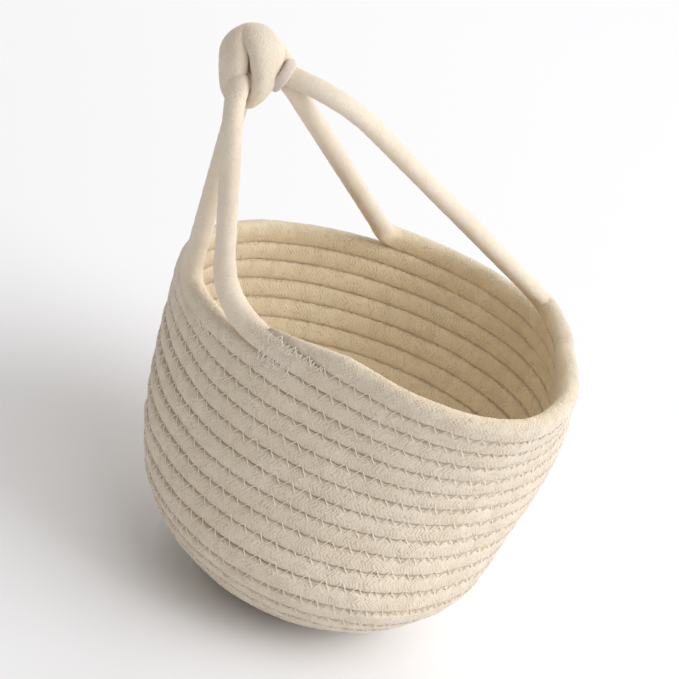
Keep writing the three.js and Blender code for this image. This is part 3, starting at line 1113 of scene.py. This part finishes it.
@dataclass(frozen=True)
class ThreadFinish:
    """Off-white spun sewing thread.

    Attributes:
        name: The material's name.
        light: The colour of a strand's ridges.
        dark: Its colour between them.
        grain: The scale and detail of the spun fibres.
        step: Where their noise starts to count, and how steeply it rises.
        bump: The relief's strength and its depth in metres.
    """

    name: str = "sewing_thread"
    light: Triple = (0.93, 0.88, 0.79)
    dark: Triple = (0.80, 0.73, 0.62)
    grain: Pair = (2400.0, 2.0)
    step: Pair = (0.4, 2.5)
    bump: Pair = (0.6, 0.00015)
    rough: float = 0.8
    gloss: float = 0.3
    sheen: float = 0.2

    def material(self) -> bpy.types.Material:
        """Build the material."""
        made = bpy.data.materials.new(self.name)
        graph = Graph.blank(made)
        spun = graph.noise(graph.place(), *self.grain)
        share = ((spun - self.step[0]) * self.step[1]).within(0.0, 1.0)
        relief = {"Strength": self.bump[0], "Distance": self.bump[1], "Height": spun}
        shader = graph.node(
            "ShaderNodeBsdfPrincipled",
            None,
            {
                "Base Color": graph.mixed(share, self.dark, self.light),
                "Roughness": self.rough,
                "Specular IOR Level": self.gloss,
                "Sheen Weight": self.sheen,
                "Normal": graph.node("ShaderNodeBump", None, relief),
            },
        )
        graph.surface(shader)
        return made


@dataclass
class Dresser:
    """What every sub-assembly needs to turn rope and thread into dressed pieces."""

    rope_rule: RopeRule
    stroke_rule: StrokeRule
    cotton: bpy.types.Material
    blush: bpy.types.Material
    thread: bpy.types.Material
    inner_thread: bpy.types.Material

    def rope(
        self, name: str, stretch: Stretch, sides: int, material: bpy.types.Material | None = None
    ) -> bpy.types.Object:
        """Make a closed stretch of rope, of plain cotton unless another material is given."""
        floor = stretch.floor * MILLIMETRE
        values = {"Floor": floor, "Material": material or self.cotton, "Sides": sides}
        return self.rope_rule.run(name, stretch.host(name), values)

    def stitches(
        self, name: str, strokes: Strokes, material: bpy.types.Material, **values: float
    ) -> bpy.types.Object:
        """Lay strokes of thread as one piece."""
        return self.stroke_rule.run(name, strokes.host(name), {"Material": material, **values})

    def report(self, piece: bpy.types.Object, body: str) -> None:
        """Report a finished piece."""
        log.info("%s: %d faces, on %s", piece.name, len(piece.data.polygons), body)

    def ride(
        self, piece: bpy.types.Object, body: Body, replaced: Sequence[str]
    ) -> None:
        """Put a piece on its body and the CAD nodes that it stands for."""
        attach(piece, body.value)
        if replaced:
            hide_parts(*replaced)
        self.report(piece, body.value)


@dataclass(frozen=True)
class CoiledPiece:
    """One coiled piece of rope.

    Attributes:
        node: The CAD node that it stands for.
        caps: How far its two ends stand out.
        sides: How many faces run round it.
        thins: Whether it thins toward its last end.
    """

    node: str
    caps: Pair
    sides: int
    thins: bool = False


@dataclass
class CoiledBody:
    """The coiled rope of base, wall and rim.

    Attributes:
        coil: The rule that it follows.
        step: From ring to ring along the rope.
        wobble: How far the rope strays in and out of the wall.
        resting_height: The rope's underside stays this far above the floor.
        tail_taper: The length over which the tail thins.
        tail_share: The share of the rope's size that is left at the tail's tip.
        stray_ease: The length over which the rope comes back to its line at a stretch's ends.
        seam_ease: The length over which a seam's pull fades there.
    """

    coil: Coil
    step: float = 1.05
    wobble: float = 0.16
    resting_height: float = 0.3
    tail_taper: float = 26.0
    tail_share: float = 0.22
    stray_ease: float = 10.0
    seam_ease: float = 4.0

    STRAY_WAVES = ((23.0, 0.4), (37.0, 1.9), (61.0, 3.1))
    PIECES = {
        "body_rope": CoiledPiece("body_coil", (3.3, 0.0), 16),
        "middle_turn_rope": CoiledPiece("rim_middle_turn", (0.0, 0.0), 24),
        "top_turn_rope": CoiledPiece("rim_top_turn", (0.0, 1.2), 24, thins=True),
    }

    def has_row(self, angle: np.ndarray) -> np.ndarray:
        """Tell where the coil has rope, as 1 or 0."""
        inside = [(angle <= high) & (angle >= low) for high, low in self.coil.spans.values()]
        return np.any(inside, axis=0).astype(float)

    def stray(self, way: np.ndarray) -> np.ndarray:
        """Give how far the rope strays out of its line, the same on every run."""
        total = sum(np.sin(RADIANS * way / length + phase) for length, phase in self.STRAY_WAVES)
        return self.wobble * total / len(self.STRAY_WAVES) ** 0.5

    @staticmethod
    def eased(lengths: np.ndarray, over: float) -> np.ndarray:
        """Give 1 along a stretch, with a smooth fall to 0 at its two ends."""
        first, last = lengths[0], lengths[-1]
        rise = smooth_share(lengths, first, first + over)
        return rise * smooth_share(-lengths, -last, over - last)

    def stretch(self, high: float, low: float, way: float) -> Stretch:
        """Follow the coil between two angles.

        Args:
            high: The angle to start at.
            low: The angle to end at.
            way: The length of rope that lies before it.

        Returns:
            The stretch, still open at both ends.
        """
        coil = self.coil
        first, last = coil.length_at(np.array([high, low]))
        count = int(round((last - first) / self.step)) + 1
        angle = coil.angle_at(np.linspace(first, last, count))
        _, out, above = coil.ways(angle)
        lengths = coil.length_at(angle)
        stray = self.stray(lengths) * self.eased(lengths, self.stray_ease)
        flat = np.ones(count)
        pull = self.eased(lengths, self.seam_ease)
        return Stretch(
            points=coil.frame(angle)[0] + out * stray[:, None],
            wide=above,
            deep=out,
            half_width=flat * PRESSED.half_width,
            half_depth=flat * PRESSED.half_depth,
            power=flat * PRESSED.power,
            way=way + lengths - first,
            low_seam=coil.stitch_count(angle),
            high_seam=coil.stitch_count(angle - FULL_TURN),
            low_pull=pull,
            high_pull=self.has_row(angle - FULL_TURN) * pull,
            lining=flat,
            floor=self.resting_height,
        )

    def tail(self, stretch: Stretch) -> Stretch:
        """Thin the rope toward the tail's tip, against the row that it is sewn to."""
        to_tip = stretch.way[-1] - stretch.way
        share = self.tail_share + (1 - self.tail_share) * np.clip(to_tip / self.tail_taper, 0, 1)
        lost = PRESSED.half_width * (1 - share)
        return replace(
            stretch,
            points=stretch.points - stretch.wide * lost[:, None],
            half_width=stretch.half_width * share,
            half_depth=stretch.half_depth * share,
        )

    def build(self, dresser: Dresser, way: dict[str, float]) -> None:
        """Build the three coiled stretches of rope."""
        for name, piece in self.PIECES.items():
            stretch = self.stretch(*self.coil.spans[name], way[name])
            stretch = self.tail(stretch) if piece.thins else stretch
            made = dresser.rope(name, stretch.capped(*piece.caps), piece.sides)
            dresser.ride(made, Body.BASKET, [piece.node])

    def lengths(self) -> dict[str, float]:
        """Give the length of rope in each coiled stretch."""
        ends = {name: self.coil.length_at(np.array(span)) for name, span in self.coil.spans.items()}
        return {name: float(last - first) for name, (first, last) in ends.items()}


@dataclass(frozen=True)
class KnotPlace:
    """Where the knot sits and how its own directions lie, as the ropes run into it.

    Attributes:
        middle: The knot's middle.
        away: Its direction away from the viewer.
    """

    middle: Triple = (-72.08, -45.82, 190.6)
    away: Triple = (0.0, 0.8756, -0.483)

    @cached_property
    def axes(self) -> np.ndarray:
        """Right, up and toward the viewer, one row each."""
        right, away = unit(np.array(PICTURE_RIGHT)), unit(np.array(self.away))
        return np.stack([right, np.cross(right, away), -away])

    def vector(self, local: Sequence[float]) -> np.ndarray:
        """Turn a direction in right, up and toward into the part's own directions."""
        return np.asarray(local, float) @ self.axes

    def place(self, local: Sequence[float]) -> np.ndarray:
        """Turn a place in the knot into the part's own coordinates."""
        return np.array(self.middle) + self.vector(local)


TURNS = {
    "knot_left_turn": [
        (-5.0, -12.2, -3.4, 2.4, 2.6), (-6.4, -8.6, -1.0, 3.1, 3.0), (-5.6, -4.8, 1.8, 5.0, 3.5),
        (-5.2, -0.6, 3.2, 5.5, 3.8), (-4.7, 3.6, 2.8, 5.0, 3.7), (-2.2, 6.6, 0.6, 4.5, 3.4),
        (1.8, 7.0, -2.2, 4.2, 3.3), (4.6, 4.2, -5.0, 3.8, 3.2),
    ],
    "knot_front_turn": [
        (0.2, 2.6, -7.0, 4.2, 3.2), (-0.4, 6.2, -4.6, 4.6, 3.3), (0.3, 7.3, -0.8, 5.0, 3.4),
        (1.8, 5.6, 3.2, 5.7, 3.5), (4.3, 1.8, 4.9, 6.2, 3.6), (4.5, -2.4, 5.2, 5.3, 3.5),
        (4.0, -6.0, 4.5, 4.3, 3.2), (2.7, -9.2, 3.0, 3.3, 2.9), (0.9, -11.9, 0.6, 2.2, 2.3),
        (-1.2, -13.0, -2.4, 1.8, 2.0), (-2.6, -11.4, -5.0, 2.4, 2.4),
    ],
    "knot_right_turn": [
        (4.4, -6.6, -4.0, 2.6, 2.6), (8.2, -5.4, -1.8, 3.1, 3.0), (9.0, -1.8, -0.2, 3.6, 3.5),
        (6.6, 2.2, 0.6, 3.9, 3.7), (3.2, 5.2, -0.6, 3.8, 3.6), (-0.4, 6.2, -2.6, 3.8, 3.3),
        (-3.2, 4.4, -4.4, 3.8, 3.3),
    ],
    "knot_heart": [
        (-4.6, -1.0, -2.6, 3.6, 3.6), (0.0, 0.0, -1.6, 4.6, 4.6), (4.8, -2.6, -0.4, 4.0, 4.2),
    ],
}
STRANDS = {
    "knot_near_left_strand": [
        (-4.75, -12.5, 4.3, 3.2, 3.2), (-4.15, -9.8, 4.3, 3.5, 3.2), (-3.9, -7.3, 3.7, 3.6, 3.2),
    ],
    "knot_far_left_strand": [
        (-4.0, -11.6, -7.6, 3.2, 3.2), (-3.3, -8.0, -6.0, 3.12, 3.12),
        (-1.8, -2.4, -3.0, 3.1, 3.1),
    ],
    "knot_right_strand": [
        (10.6, -5.1, 1.7, 3.2, 3.2), (7.9, -3.9, 1.3, 3.1, 3.0), (4.0, -2.2, 0.4, 3.0, 3.0),
    ],
    "knot_back_strand": [
        (9.8, -5.4, -2.0, 3.2, 3.2), (8.0, -3.0, -1.7, 3.1, 3.1), (5.0, -0.8, -1.6, 3.0, 3.0),
    ],
}


@dataclass(frozen=True)
class Leg:
    """One leg of a handle, from its landing on the rim to the knot.

    Attributes:
        stem: What the names of its piece and its CAD node begin with.
        landing: Where it meets the rim.
        strand: The knot's strand that it runs on into.
        way: The direction in which it leaves the knot, in the knot's right, up and toward.
        neck: From the corner at the knot to where the bend starts, on both sides.
        swell: How much wider it is where it presses against the rim.
    """

    stem: str
    landing: Landing
    strand: str
    way: Triple
    neck: float
    swell: float = 0.0

    ARC_POINTS = 60

    @property
    def name(self) -> str:
        """The piece's name."""
        return self.stem + "_rope"

    @property
    def node(self) -> str:
        """The CAD node that it stands for."""
        return self.stem + "_leg"

    def line(self, coil: Coil, knot: KnotPlace, step: float) -> np.ndarray:
        """Give the leg's middle line from the rim to the knot."""
        angles = np.array([coil.rim_angle(self.landing)])
        bend = self.landing.bend
        start = coil.frame(angles)[0][0]
        corner = start - self.landing.sense * coil.ways(angles)[0][0] * bend
        end = knot.place(STRANDS[self.strand][0][:3])
        neck = end + unit(knot.vector(self.way)) * self.neck
        run = unit(neck - corner)
        share = np.linspace(0, 1, self.ARC_POINTS)[:, None]

        def arc(first: np.ndarray, middle: np.ndarray, last: np.ndarray) -> np.ndarray:
            """Round off one corner."""
            return first * (1 - share) ** 2 + middle * 2 * share * (1 - share) + last * share**2

        rise = arc(start, corner, corner + run * bend)
        fall = arc(neck - run * self.neck, neck, end)
        return spaced(np.vstack([rise, fall]), step)


LEGS = (
    Leg("back_handle_left", FAR_LEFT, "knot_far_left_strand", (-0.28, -0.9, -0.3), 5.0),
    Leg("back_handle_right", BACK, "knot_back_strand", (0.59, -0.8, -0.1), 5.5),
    Leg("front_handle_left", NEAR_LEFT, "knot_near_left_strand", (-0.14, -0.99, 0.06), 6.0, 0.8),
    Leg("front_handle_right", RIGHT, "knot_right_strand", (0.915, -0.403, 0.03), 19.1),
)


@dataclass
class Handles:
    """The four legs of the two loop handles.

    Attributes:
        coil: The rule that the rim follows.
        knot: Where they meet.
        step: From ring to ring along a leg.
        sides: How many faces run round a leg.
        settle: A pressed row turns into a round rope between these lengths from the rim.
        lined_for: The length over which the inside's tint fades out.
        pressed_for: The length over which a leg may be pressed wider.
        blend_far: The leg follows the basket up to this far from the knot's middle.
        blend_near: From here on it follows the knot.
    """

    coil: Coil
    knot: KnotPlace
    step: float = 1.0
    sides: int = 24
    settle: Pair = (2.0, 26.0)
    lined_for: float = 18.0
    pressed_for: float = 38.0
    blend_far: float = 62.0
    blend_near: float = 15.0

    def stretch(self, leg: Leg, way: float) -> Stretch:
        """Follow one leg in the rope's own direction."""
        points = leg.line(self.coil, self.knot, self.step)
        out = self.coil.ways(np.array([self.coil.rim_angle(leg.landing)]))[1][0]
        deep = np.empty_like(points)
        for at, tangent in enumerate(unit(np.gradient(points, axis=0))):
            out = deep[at] = across(out, tangent)
        from_rim = way_along(points)
        round_share = smooth_share(from_rim, *self.settle)
        sizes = [
            getattr(PRESSED, item.name)
            + (getattr(ROUND, item.name) - getattr(PRESSED, item.name)) * round_share
            for item in fields(Section)
        ]
        pressed = np.sin(np.clip(from_rim / self.pressed_for, 0.0, 1.0) * math.pi)
        sizes[0] = sizes[0] + leg.swell * pressed
        points, deep, from_rim, *sizes = (
            values[:: -leg.landing.sense] for values in (points, deep, from_rim, *sizes)
        )
        stretch = Stretch.along(points, deep, sizes, way)
        stretch.lining = 1.0 - smooth_share(from_rim, 0.0, self.lined_for)
        return stretch

    def lengths(self) -> dict[str, float]:
        """Give the length of each leg."""
        lines = {leg.name: leg.line(self.coil, self.knot, self.step) for leg in LEGS}
        return {name: float(way_along(line)[-1]) for name, line in lines.items()}

    def build(self, dresser: Dresser, way: dict[str, float]) -> None:
        """Build the legs, each bending from the basket to the knot."""
        middle = self.knot.place((0, 0, 0))
        for leg in LEGS:
            stretch = self.stretch(leg, way[leg.name]).capped(0.0, 0.0)
            piece = dresser.rope(leg.name, stretch, self.sides)
            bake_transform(piece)
            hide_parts(leg.node)
            dresser.report(piece, "basket and knot")


@dataclass(frozen=True)
class NeckBand:
    """The narrow turn that shows between the front turn and the right strands.

    Attributes:
        middle: Its middle, in the knot's right, up and toward.
        way: The direction that it is wound about.
        rise: Roughly the direction of its taller half.
        radii: Its size along that direction and across it.
        tilt: How far it leans along its way.
        section: Its cross-section.
        points: How many points it has.
        sides: How many faces run round it.
    """

    middle: Triple = (8.9, -4.9, 0.0)
    way: Triple = (0.83, -0.56, 0.0)
    rise: Triple = (0.56, 0.83, 0.0)
    radii: Pair = (4.8, 5.9)
    tilt: float = 1.3
    section: Section = Section(1.7, 0.9, 2.6)
    points: int = 73
    sides: int = 16

    def stretch(self, place: KnotPlace, way: float) -> Stretch:
        """Follow the band."""
        middle, along = np.array(self.middle), unit(np.array(self.way))
        rise = across(np.array(self.rise), along)
        toward = np.cross(along, rise)
        turn = np.linspace(0.0, RADIANS, self.points)[:, None]
        cosine, sine = np.cos(turn), np.sin(turn)
        local = middle + rise * self.radii[0] * cosine + toward * self.radii[1] * sine
        local = local + along * self.tilt * toward[2] * sine
        sizes = [np.full(self.points, getattr(self.section, item.name)) for item in fields(Section)]
        points = np.array([place.place(row) for row in local])
        deep = np.array([place.vector(row) for row in local - middle])
        return Stretch.along(points, deep, sizes, way)


@dataclass
class Knot:
    """The knot that gathers both handles.

    Every turn and strand is a row of (right, up, toward, half width, half depth), and its depth
    points away from the knot's heart.

    Attributes:
        place: Where the knot sits.
        step: From ring to ring along the rope.
        sides: How many faces run round it.
        heart: The place that depths point away from.
        turn_power: How square the turns are.
        strand_power: How square the strands are.
        cap: How far the ends of turns and strands stand out.
        tip: The same for the last end of the near left strand.
        band: The band at its neck.
    """

    place: KnotPlace
    step: float = 0.7
    sides: int = 28
    heart: Triple = (0.3, -0.6, -0.2)
    turn_power: float = 2.5
    strand_power: float = 2.0
    cap: float = 1.0
    tip: float = 3.1
    band: NeckBand = NeckBand()

    STANDS_FOR = {"knot_front_turn": ["knot_wraps"], "knot_heart": ["knot_core"]}

    def stretch(self, rows: list[tuple[float, ...]], way: float, power: float) -> Stretch:
        """Follow one turn or strand."""
        even = spaced(through(rows), self.step)
        points = np.array([self.place.place(row) for row in even[:, :3]])
        deep = np.array([self.place.vector(row) for row in even[:, :3] - np.array(self.heart)])
        sizes = [even[:, 3], even[:, 4], np.full(len(even), power)]
        return Stretch.along(points, deep, sizes, way)

    def build(self, dresser: Dresser, way: float) -> None:
        """Build the knot's turns, its strands and its band."""
        for name, rows in {**TURNS, **STRANDS}.items():
            power = self.turn_power if name in TURNS else self.strand_power
            tip = self.tip if name == "knot_near_left_strand" else self.cap
            stretch = self.stretch(rows, way, power).capped(self.cap, tip)
            piece = dresser.rope(name, stretch, self.sides)
            dresser.ride(piece, Body.KNOT, self.STANDS_FOR.get(name, []))
            way = float(stretch.way[-1])
        band = self.band.stretch(self.place, way).capped(0.0, 0.0)
        piece = dresser.rope("knot_neck_band", band, self.band.sides, dresser.blush)
        dresser.ride(piece, Body.KNOT, [])


@dataclass(frozen=True)
class Tack:
    """A patch of crowded strokes that ties the rope down.

    Attributes:
        node: The CAD node that it stands for.
        middle: The angle that it lies about.
        length: The length of rope that it covers.
        step: From stroke to stroke.
        rise: The least and greatest distance of the upper ends below the rope's middle.
    """

    node: str
    middle: float
    length: float = 8.0
    step: float = 0.8
    rise: Pair = (0.2, 2.6)


@dataclass
class Sewing:
    """The zigzag seams between the rows and the dense stitches at the landings.

    Attributes:
        coil: The rule that the seams follow.
        reach: From a groove to the needle holes on both sides of it, outside.
        inner_reach: The same inside, where the thread lies deep in the groove.
        lift: The thread lies this far off the rope.
        lowest: No needle hole lies below this height.
        shake: How far needle holes stray along the groove's height.
        slip: How far crowded strokes stray along the rope.
        foot: The least and greatest distance of their lower ends above the row's middle.
        unsewn: The seam starts this many degrees after the rope.
        seed: For the small differences from stitch to stitch.
    """

    coil: Coil
    reach: float = 2.15
    inner_reach: float = 1.1
    lift: float = 0.02
    lowest: float = 0.2
    shake: float = 0.28
    slip: float = 0.25
    foot: Pair = (0.2, 2.6)
    unsewn: float = 200.0
    seed: int = 7

    INNER_THREAD = {"Thread Radius": 0.00012, "Rise": 0.00005}

    @property
    def tacks(self) -> list[Tack]:
        """The patches at the four landings and at the tail."""
        (_, far_left), (back, near_left), (right, tail) = self.coil.spans.values()
        return [
            Tack("tack_far_left", far_left + 6.0),
            Tack("tack_back", back - 6.0),
            Tack("tack_near_left", near_left + 5.0, 12.0),
            Tack("tack_right", right - 6.0),
            Tack("tack_tail", tail + 12.0, 22.0, 1.1, (2.0, 3.2)),
        ]

    def hole(
        self, angle: np.ndarray, row: int, aside: float | np.ndarray, side: Side
    ) -> np.ndarray:
        """Give the places of needle holes on the rope's surface.

        Args:
            angle: Where along the coil.
            row: 0 for the rope at that angle, and 1 for the row below it.
            aside: How far from the rope's middle, toward the row below.
            side: The side of the wall.

        Returns:
            The places, one row each.
        """
        place, _ = self.coil.frame(angle, row)
        _, out, above = self.coil.ways(angle, row)
        depth = np.reshape(PRESSED.surface(aside) + self.lift, (-1, 1))
        found = place - above * np.reshape(aside, (-1, 1)) + out * (side.value * depth)
        found[:, 2] = np.maximum(found[:, 2], self.lowest)
        return found

    def outward(self, angle: np.ndarray, side: Side) -> np.ndarray:
        """Give the directions away from the wall in the groove below the rope."""
        return self.coil.frame(angle, 0.5)[1] * side.value

    def zigzag(self, high: float, low: float, side: Side, random: np.random.Generator) -> Strokes:
        """Give the strokes of a seam between two angles."""
        first, last = self.coil.stitch_count(np.array([high, low])) * 2
        halves = np.arange(math.ceil(first), math.floor(last) + 1)
        angle = self.coil.angle_at(halves / 2 * self.coil.stitch)
        reach = self.reach if side is Side.OUTSIDE else self.inner_reach
        aside = PRESSED.half_width - reach
        shake = random.normal(0.0, self.shake, len(angle))
        upper = self.hole(angle, 0, aside, side)
        lower = self.hole(angle, 1, -aside, side)
        above = self.coil.ways(angle)[2]
        even = (halves % 2 == 0)[:, None]
        holes = np.where(even, upper, lower) + above * shake[:, None]
        return Strokes(holes[:-1], holes[1:], self.outward(angle[:-1], side))

    def dense(self, tack: Tack, random: np.random.Generator) -> Strokes:
        """Give the crowded strokes that tie one row to the row below it, forth and back."""
        count = int(tack.length / tack.step)
        along = (np.arange(count) - (count - 1) / 2) * tack.step
        along = along + random.normal(0, self.slip, count)
        angle = tack.middle + self.coil.arc_angle(tack.middle, 1.0) * along
        upper = random.uniform(*tack.rise, count)
        lower = -random.uniform(*self.foot, count)
        tops = self.hole(angle, 0, upper, Side.OUTSIDE)
        feet = self.hole(angle, 1, lower, Side.OUTSIDE)
        outs = self.outward(angle, Side.OUTSIDE)
        return Strokes.joined([Strokes(tops, feet, outs), Strokes(feet[:-1], tops[1:], outs[:-1])])

    def build(self, dresser: Dresser) -> None:
        """Sew the seams and the tacks."""
        (start, far_left), *others = self.coil.spans.values()
        spans = [(start - self.unsewn, far_left), *others]
        for side, material, values, replaced in (
            (Side.OUTSIDE, dresser.thread, {}, ["seam_thread"]),
            (Side.INSIDE, dresser.inner_thread, self.INNER_THREAD, []),
        ):
            random = np.random.default_rng(self.seed)
            strokes = Strokes.joined([self.zigzag(*span, side, random) for span in spans])
            name = "seam_stitches_" + side.name.lower()
            piece = dresser.stitches(name, strokes, material, **values)
            dresser.ride(piece, Body.BASKET, replaced)
        random = np.random.default_rng(self.seed + 1)
        for tack in self.tacks:
            strokes = self.dense(tack, random)
            piece = dresser.stitches(tack.node + "_stitches", strokes, dresser.thread)
            dresser.ride(piece, Body.BASKET, [tack.node])


@dataclass(frozen=True)
class Lamp:
    """A soft square lamp that looks at the basket.

    Attributes:
        name: The lamp's name.
        toward: The direction from the basket to the lamp.
        distance: How far off it hangs, in metres.
        size: Its side, in metres.
        power: Its power in watts.
        colour: Its colour.
    """

    name: str
    toward: Triple
    distance: float
    size: float
    power: float
    colour: Triple = (1.0, 1.0, 1.0)

    AIM = (0.0, 0.0, 0.08)

    def hang(self) -> None:
        """Hang the lamp."""
        data = bpy.data.lights.new(self.name, "AREA")
        data.shape = "SQUARE"
        data.size, data.energy, data.color = self.size, self.power, self.colour
        made = link(self.name, data)
        direction = Vector(self.toward).normalized()
        made.location = Vector(self.AIM) + direction * self.distance
        made.rotation_mode = "QUATERNION"
        made.rotation_quaternion = direction.to_track_quat("Z", "Y")


@dataclass(frozen=True)
class Studio:
    """A plain pale floor, plain soft light and the camera of the photograph.

    Attributes:
        eye: The camera's place.
        down: The image's direction downward.
        lens: The focal length.
        sensor: The sensor's width that it goes with.
        reach: What the camera sees lies between these distances, in metres.
        floor_size: The floor's side, in metres.
        floor_colour: The floor's colour.
        backdrop: The colour that the camera sees around the floor.
        fade_start: The floor keeps its shadows up to this far from the basket, in metres.
        fade_end: From here on the floor looks like the backdrop.
        sky: The colour of the light from all around.
        sky_strength: Its strength.
        lamps: The lamps.
    """

    eye: Triple = (-15.6, -833.37, 548.17)
    down: Triple = (0.3868, -0.4454, -0.8075)
    lens: float = 153.5
    sensor: float = 36.0
    reach: Pair = (0.01, 100.0)
    floor_size: float = 60.0
    floor_colour: Triple = (0.862, 0.864, 0.884)
    floor_rough: float = 0.95
    floor_gloss: float = 0.1
    backdrop: Triple = (0.935, 0.935, 0.95)
    fade_start: float = 0.3
    fade_end: float = 1.0
    sky: Triple = (0.965, 0.94, 0.905)
    sky_strength: float = 0.45
    lamps: tuple[Lamp, ...] = (
        Lamp("key", (0.88, 0.0, 0.55), 3.2, 2.7, 88.0, (0.985, 0.99, 1.0)),
        Lamp("fill", (0.35, -0.4, 0.9), 2.6, 1.8, 15.0),
        Lamp("back", (0.1, 0.95, 0.35), 2.4, 2.0, 28.0),
    )

    def camera(self) -> None:
        """Place the camera."""
        data = bpy.data.cameras.new("camera")
        data.lens, data.sensor_width = self.lens, self.sensor
        data.clip_start, data.clip_end = self.reach
        made = link("camera", data)
        right, down = (Vector(way).normalized() for way in (PICTURE_RIGHT, self.down))
        axes = Matrix((right, -down, -right.cross(down))).transposed().to_4x4()
        made.matrix_world = Matrix.Translation(Vector(self.eye) * MILLIMETRE) @ axes
        bpy.context.scene.camera = made

    def floor(self) -> None:
        """Lay the floor."""
        mesh = bpy.data.meshes.new("floor")
        half = self.floor_size / 2
        corners = [(-half, -half, 0), (half, -half, 0), (half, half, 0), (-half, half, 0)]
        mesh.from_pydata(corners, [], [(0, 1, 2, 3)])
        made = link("floor", mesh)
        material = bpy.data.materials.new("floor")
        graph = Graph.blank(material)
        matt = {
            "Base Color": self.floor_colour,
            "Roughness": self.floor_rough,
            "Specular IOR Level": self.floor_gloss,
        }
        shader = graph.node("ShaderNodeBsdfPrincipled", None, matt)
        away = graph.length(graph.place())
        far = ((away - self.fade_start) / (self.fade_end - self.fade_start)).within(0.0, 1.0)
        pale = graph.node("ShaderNodeEmission", None, {"Color": self.backdrop, "Strength": 1.0})
        both = {0: far * graph.camera_ray(), 1: shader, 2: pale}
        graph.surface(graph.node("ShaderNodeMixShader", None, both))
        mesh.materials.append(material)

    def world(self) -> None:
        """Fill the surroundings with pale light."""
        made = bpy.data.worlds.new("surroundings")
        graph = Graph.blank(made)
        light, pale = (
            graph.node("ShaderNodeBackground", None, {"Color": colour, "Strength": strength})
            for colour, strength in ((self.sky, self.sky_strength), (self.backdrop, 1.0))
        )
        mixed = graph.node("ShaderNodeMixShader", None, {0: graph.camera_ray(), 1: light, 2: pale})
        graph.surface(mixed, "ShaderNodeOutputWorld")
        bpy.context.scene.world = made

    def build(self) -> None:
        """Set up camera, floor, lamps and surroundings."""
        self.camera()
        self.floor()
        for lamp in self.lamps:
            lamp.hang()
        self.world()
        bpy.context.scene.view_settings.view_transform = "Standard"


ROPE_ORDER = (
    "body_rope",
    "back_handle_left_rope",
    "knot",
    "back_handle_right_rope",
    "middle_turn_rope",
    "front_handle_left_rope",
    "knot",
    "front_handle_right_rope",
    "top_turn_rope",
)
KNOT_LENGTH = 60.0


def rope_ways(body: CoiledBody, handles: Handles) -> dict[str, float]:
    """Give the length of rope that lies before each stretch, in the rope's own order."""
    lengths = {**body.lengths(), **handles.lengths(), "knot": KNOT_LENGTH}
    ways: dict[str, float] = {}
    total = 0.0
    for name in ROPE_ORDER:
        ways[name] = total
        total += lengths[name]
    log.info("length of the whole rope: %.2f m", total * MILLIMETRE)
    return ways


def main() -> None:
    """Build the basket and its studio."""
    logging.basicConfig(level=logging.INFO, format="%(name)s: %(message)s")
    Studio().build()
    dresser = Dresser(
        RopeRule(),
        StrokeRule(),
        CottonFinish().material(),
        CottonFinish(name="cotton_rope_neck", fibre=(0.69, 0.585, 0.56)).material(),
        ThreadFinish().material(),
        ThreadFinish("sewing_thread_inner", (0.74, 0.66, 0.54), (0.62, 0.53, 0.42)).material(),
    )
    coil, place = Coil(), KnotPlace()
    body, handles = CoiledBody(coil), Handles(coil, place)
    ways = rope_ways(body, handles)
    body.build(dresser, ways)
    handles.build(dresser, ways)
    Knot(place).build(dresser, ways["knot"])
    Sewing(coil).build(dresser)


if __name__ == "__main__":
    main()
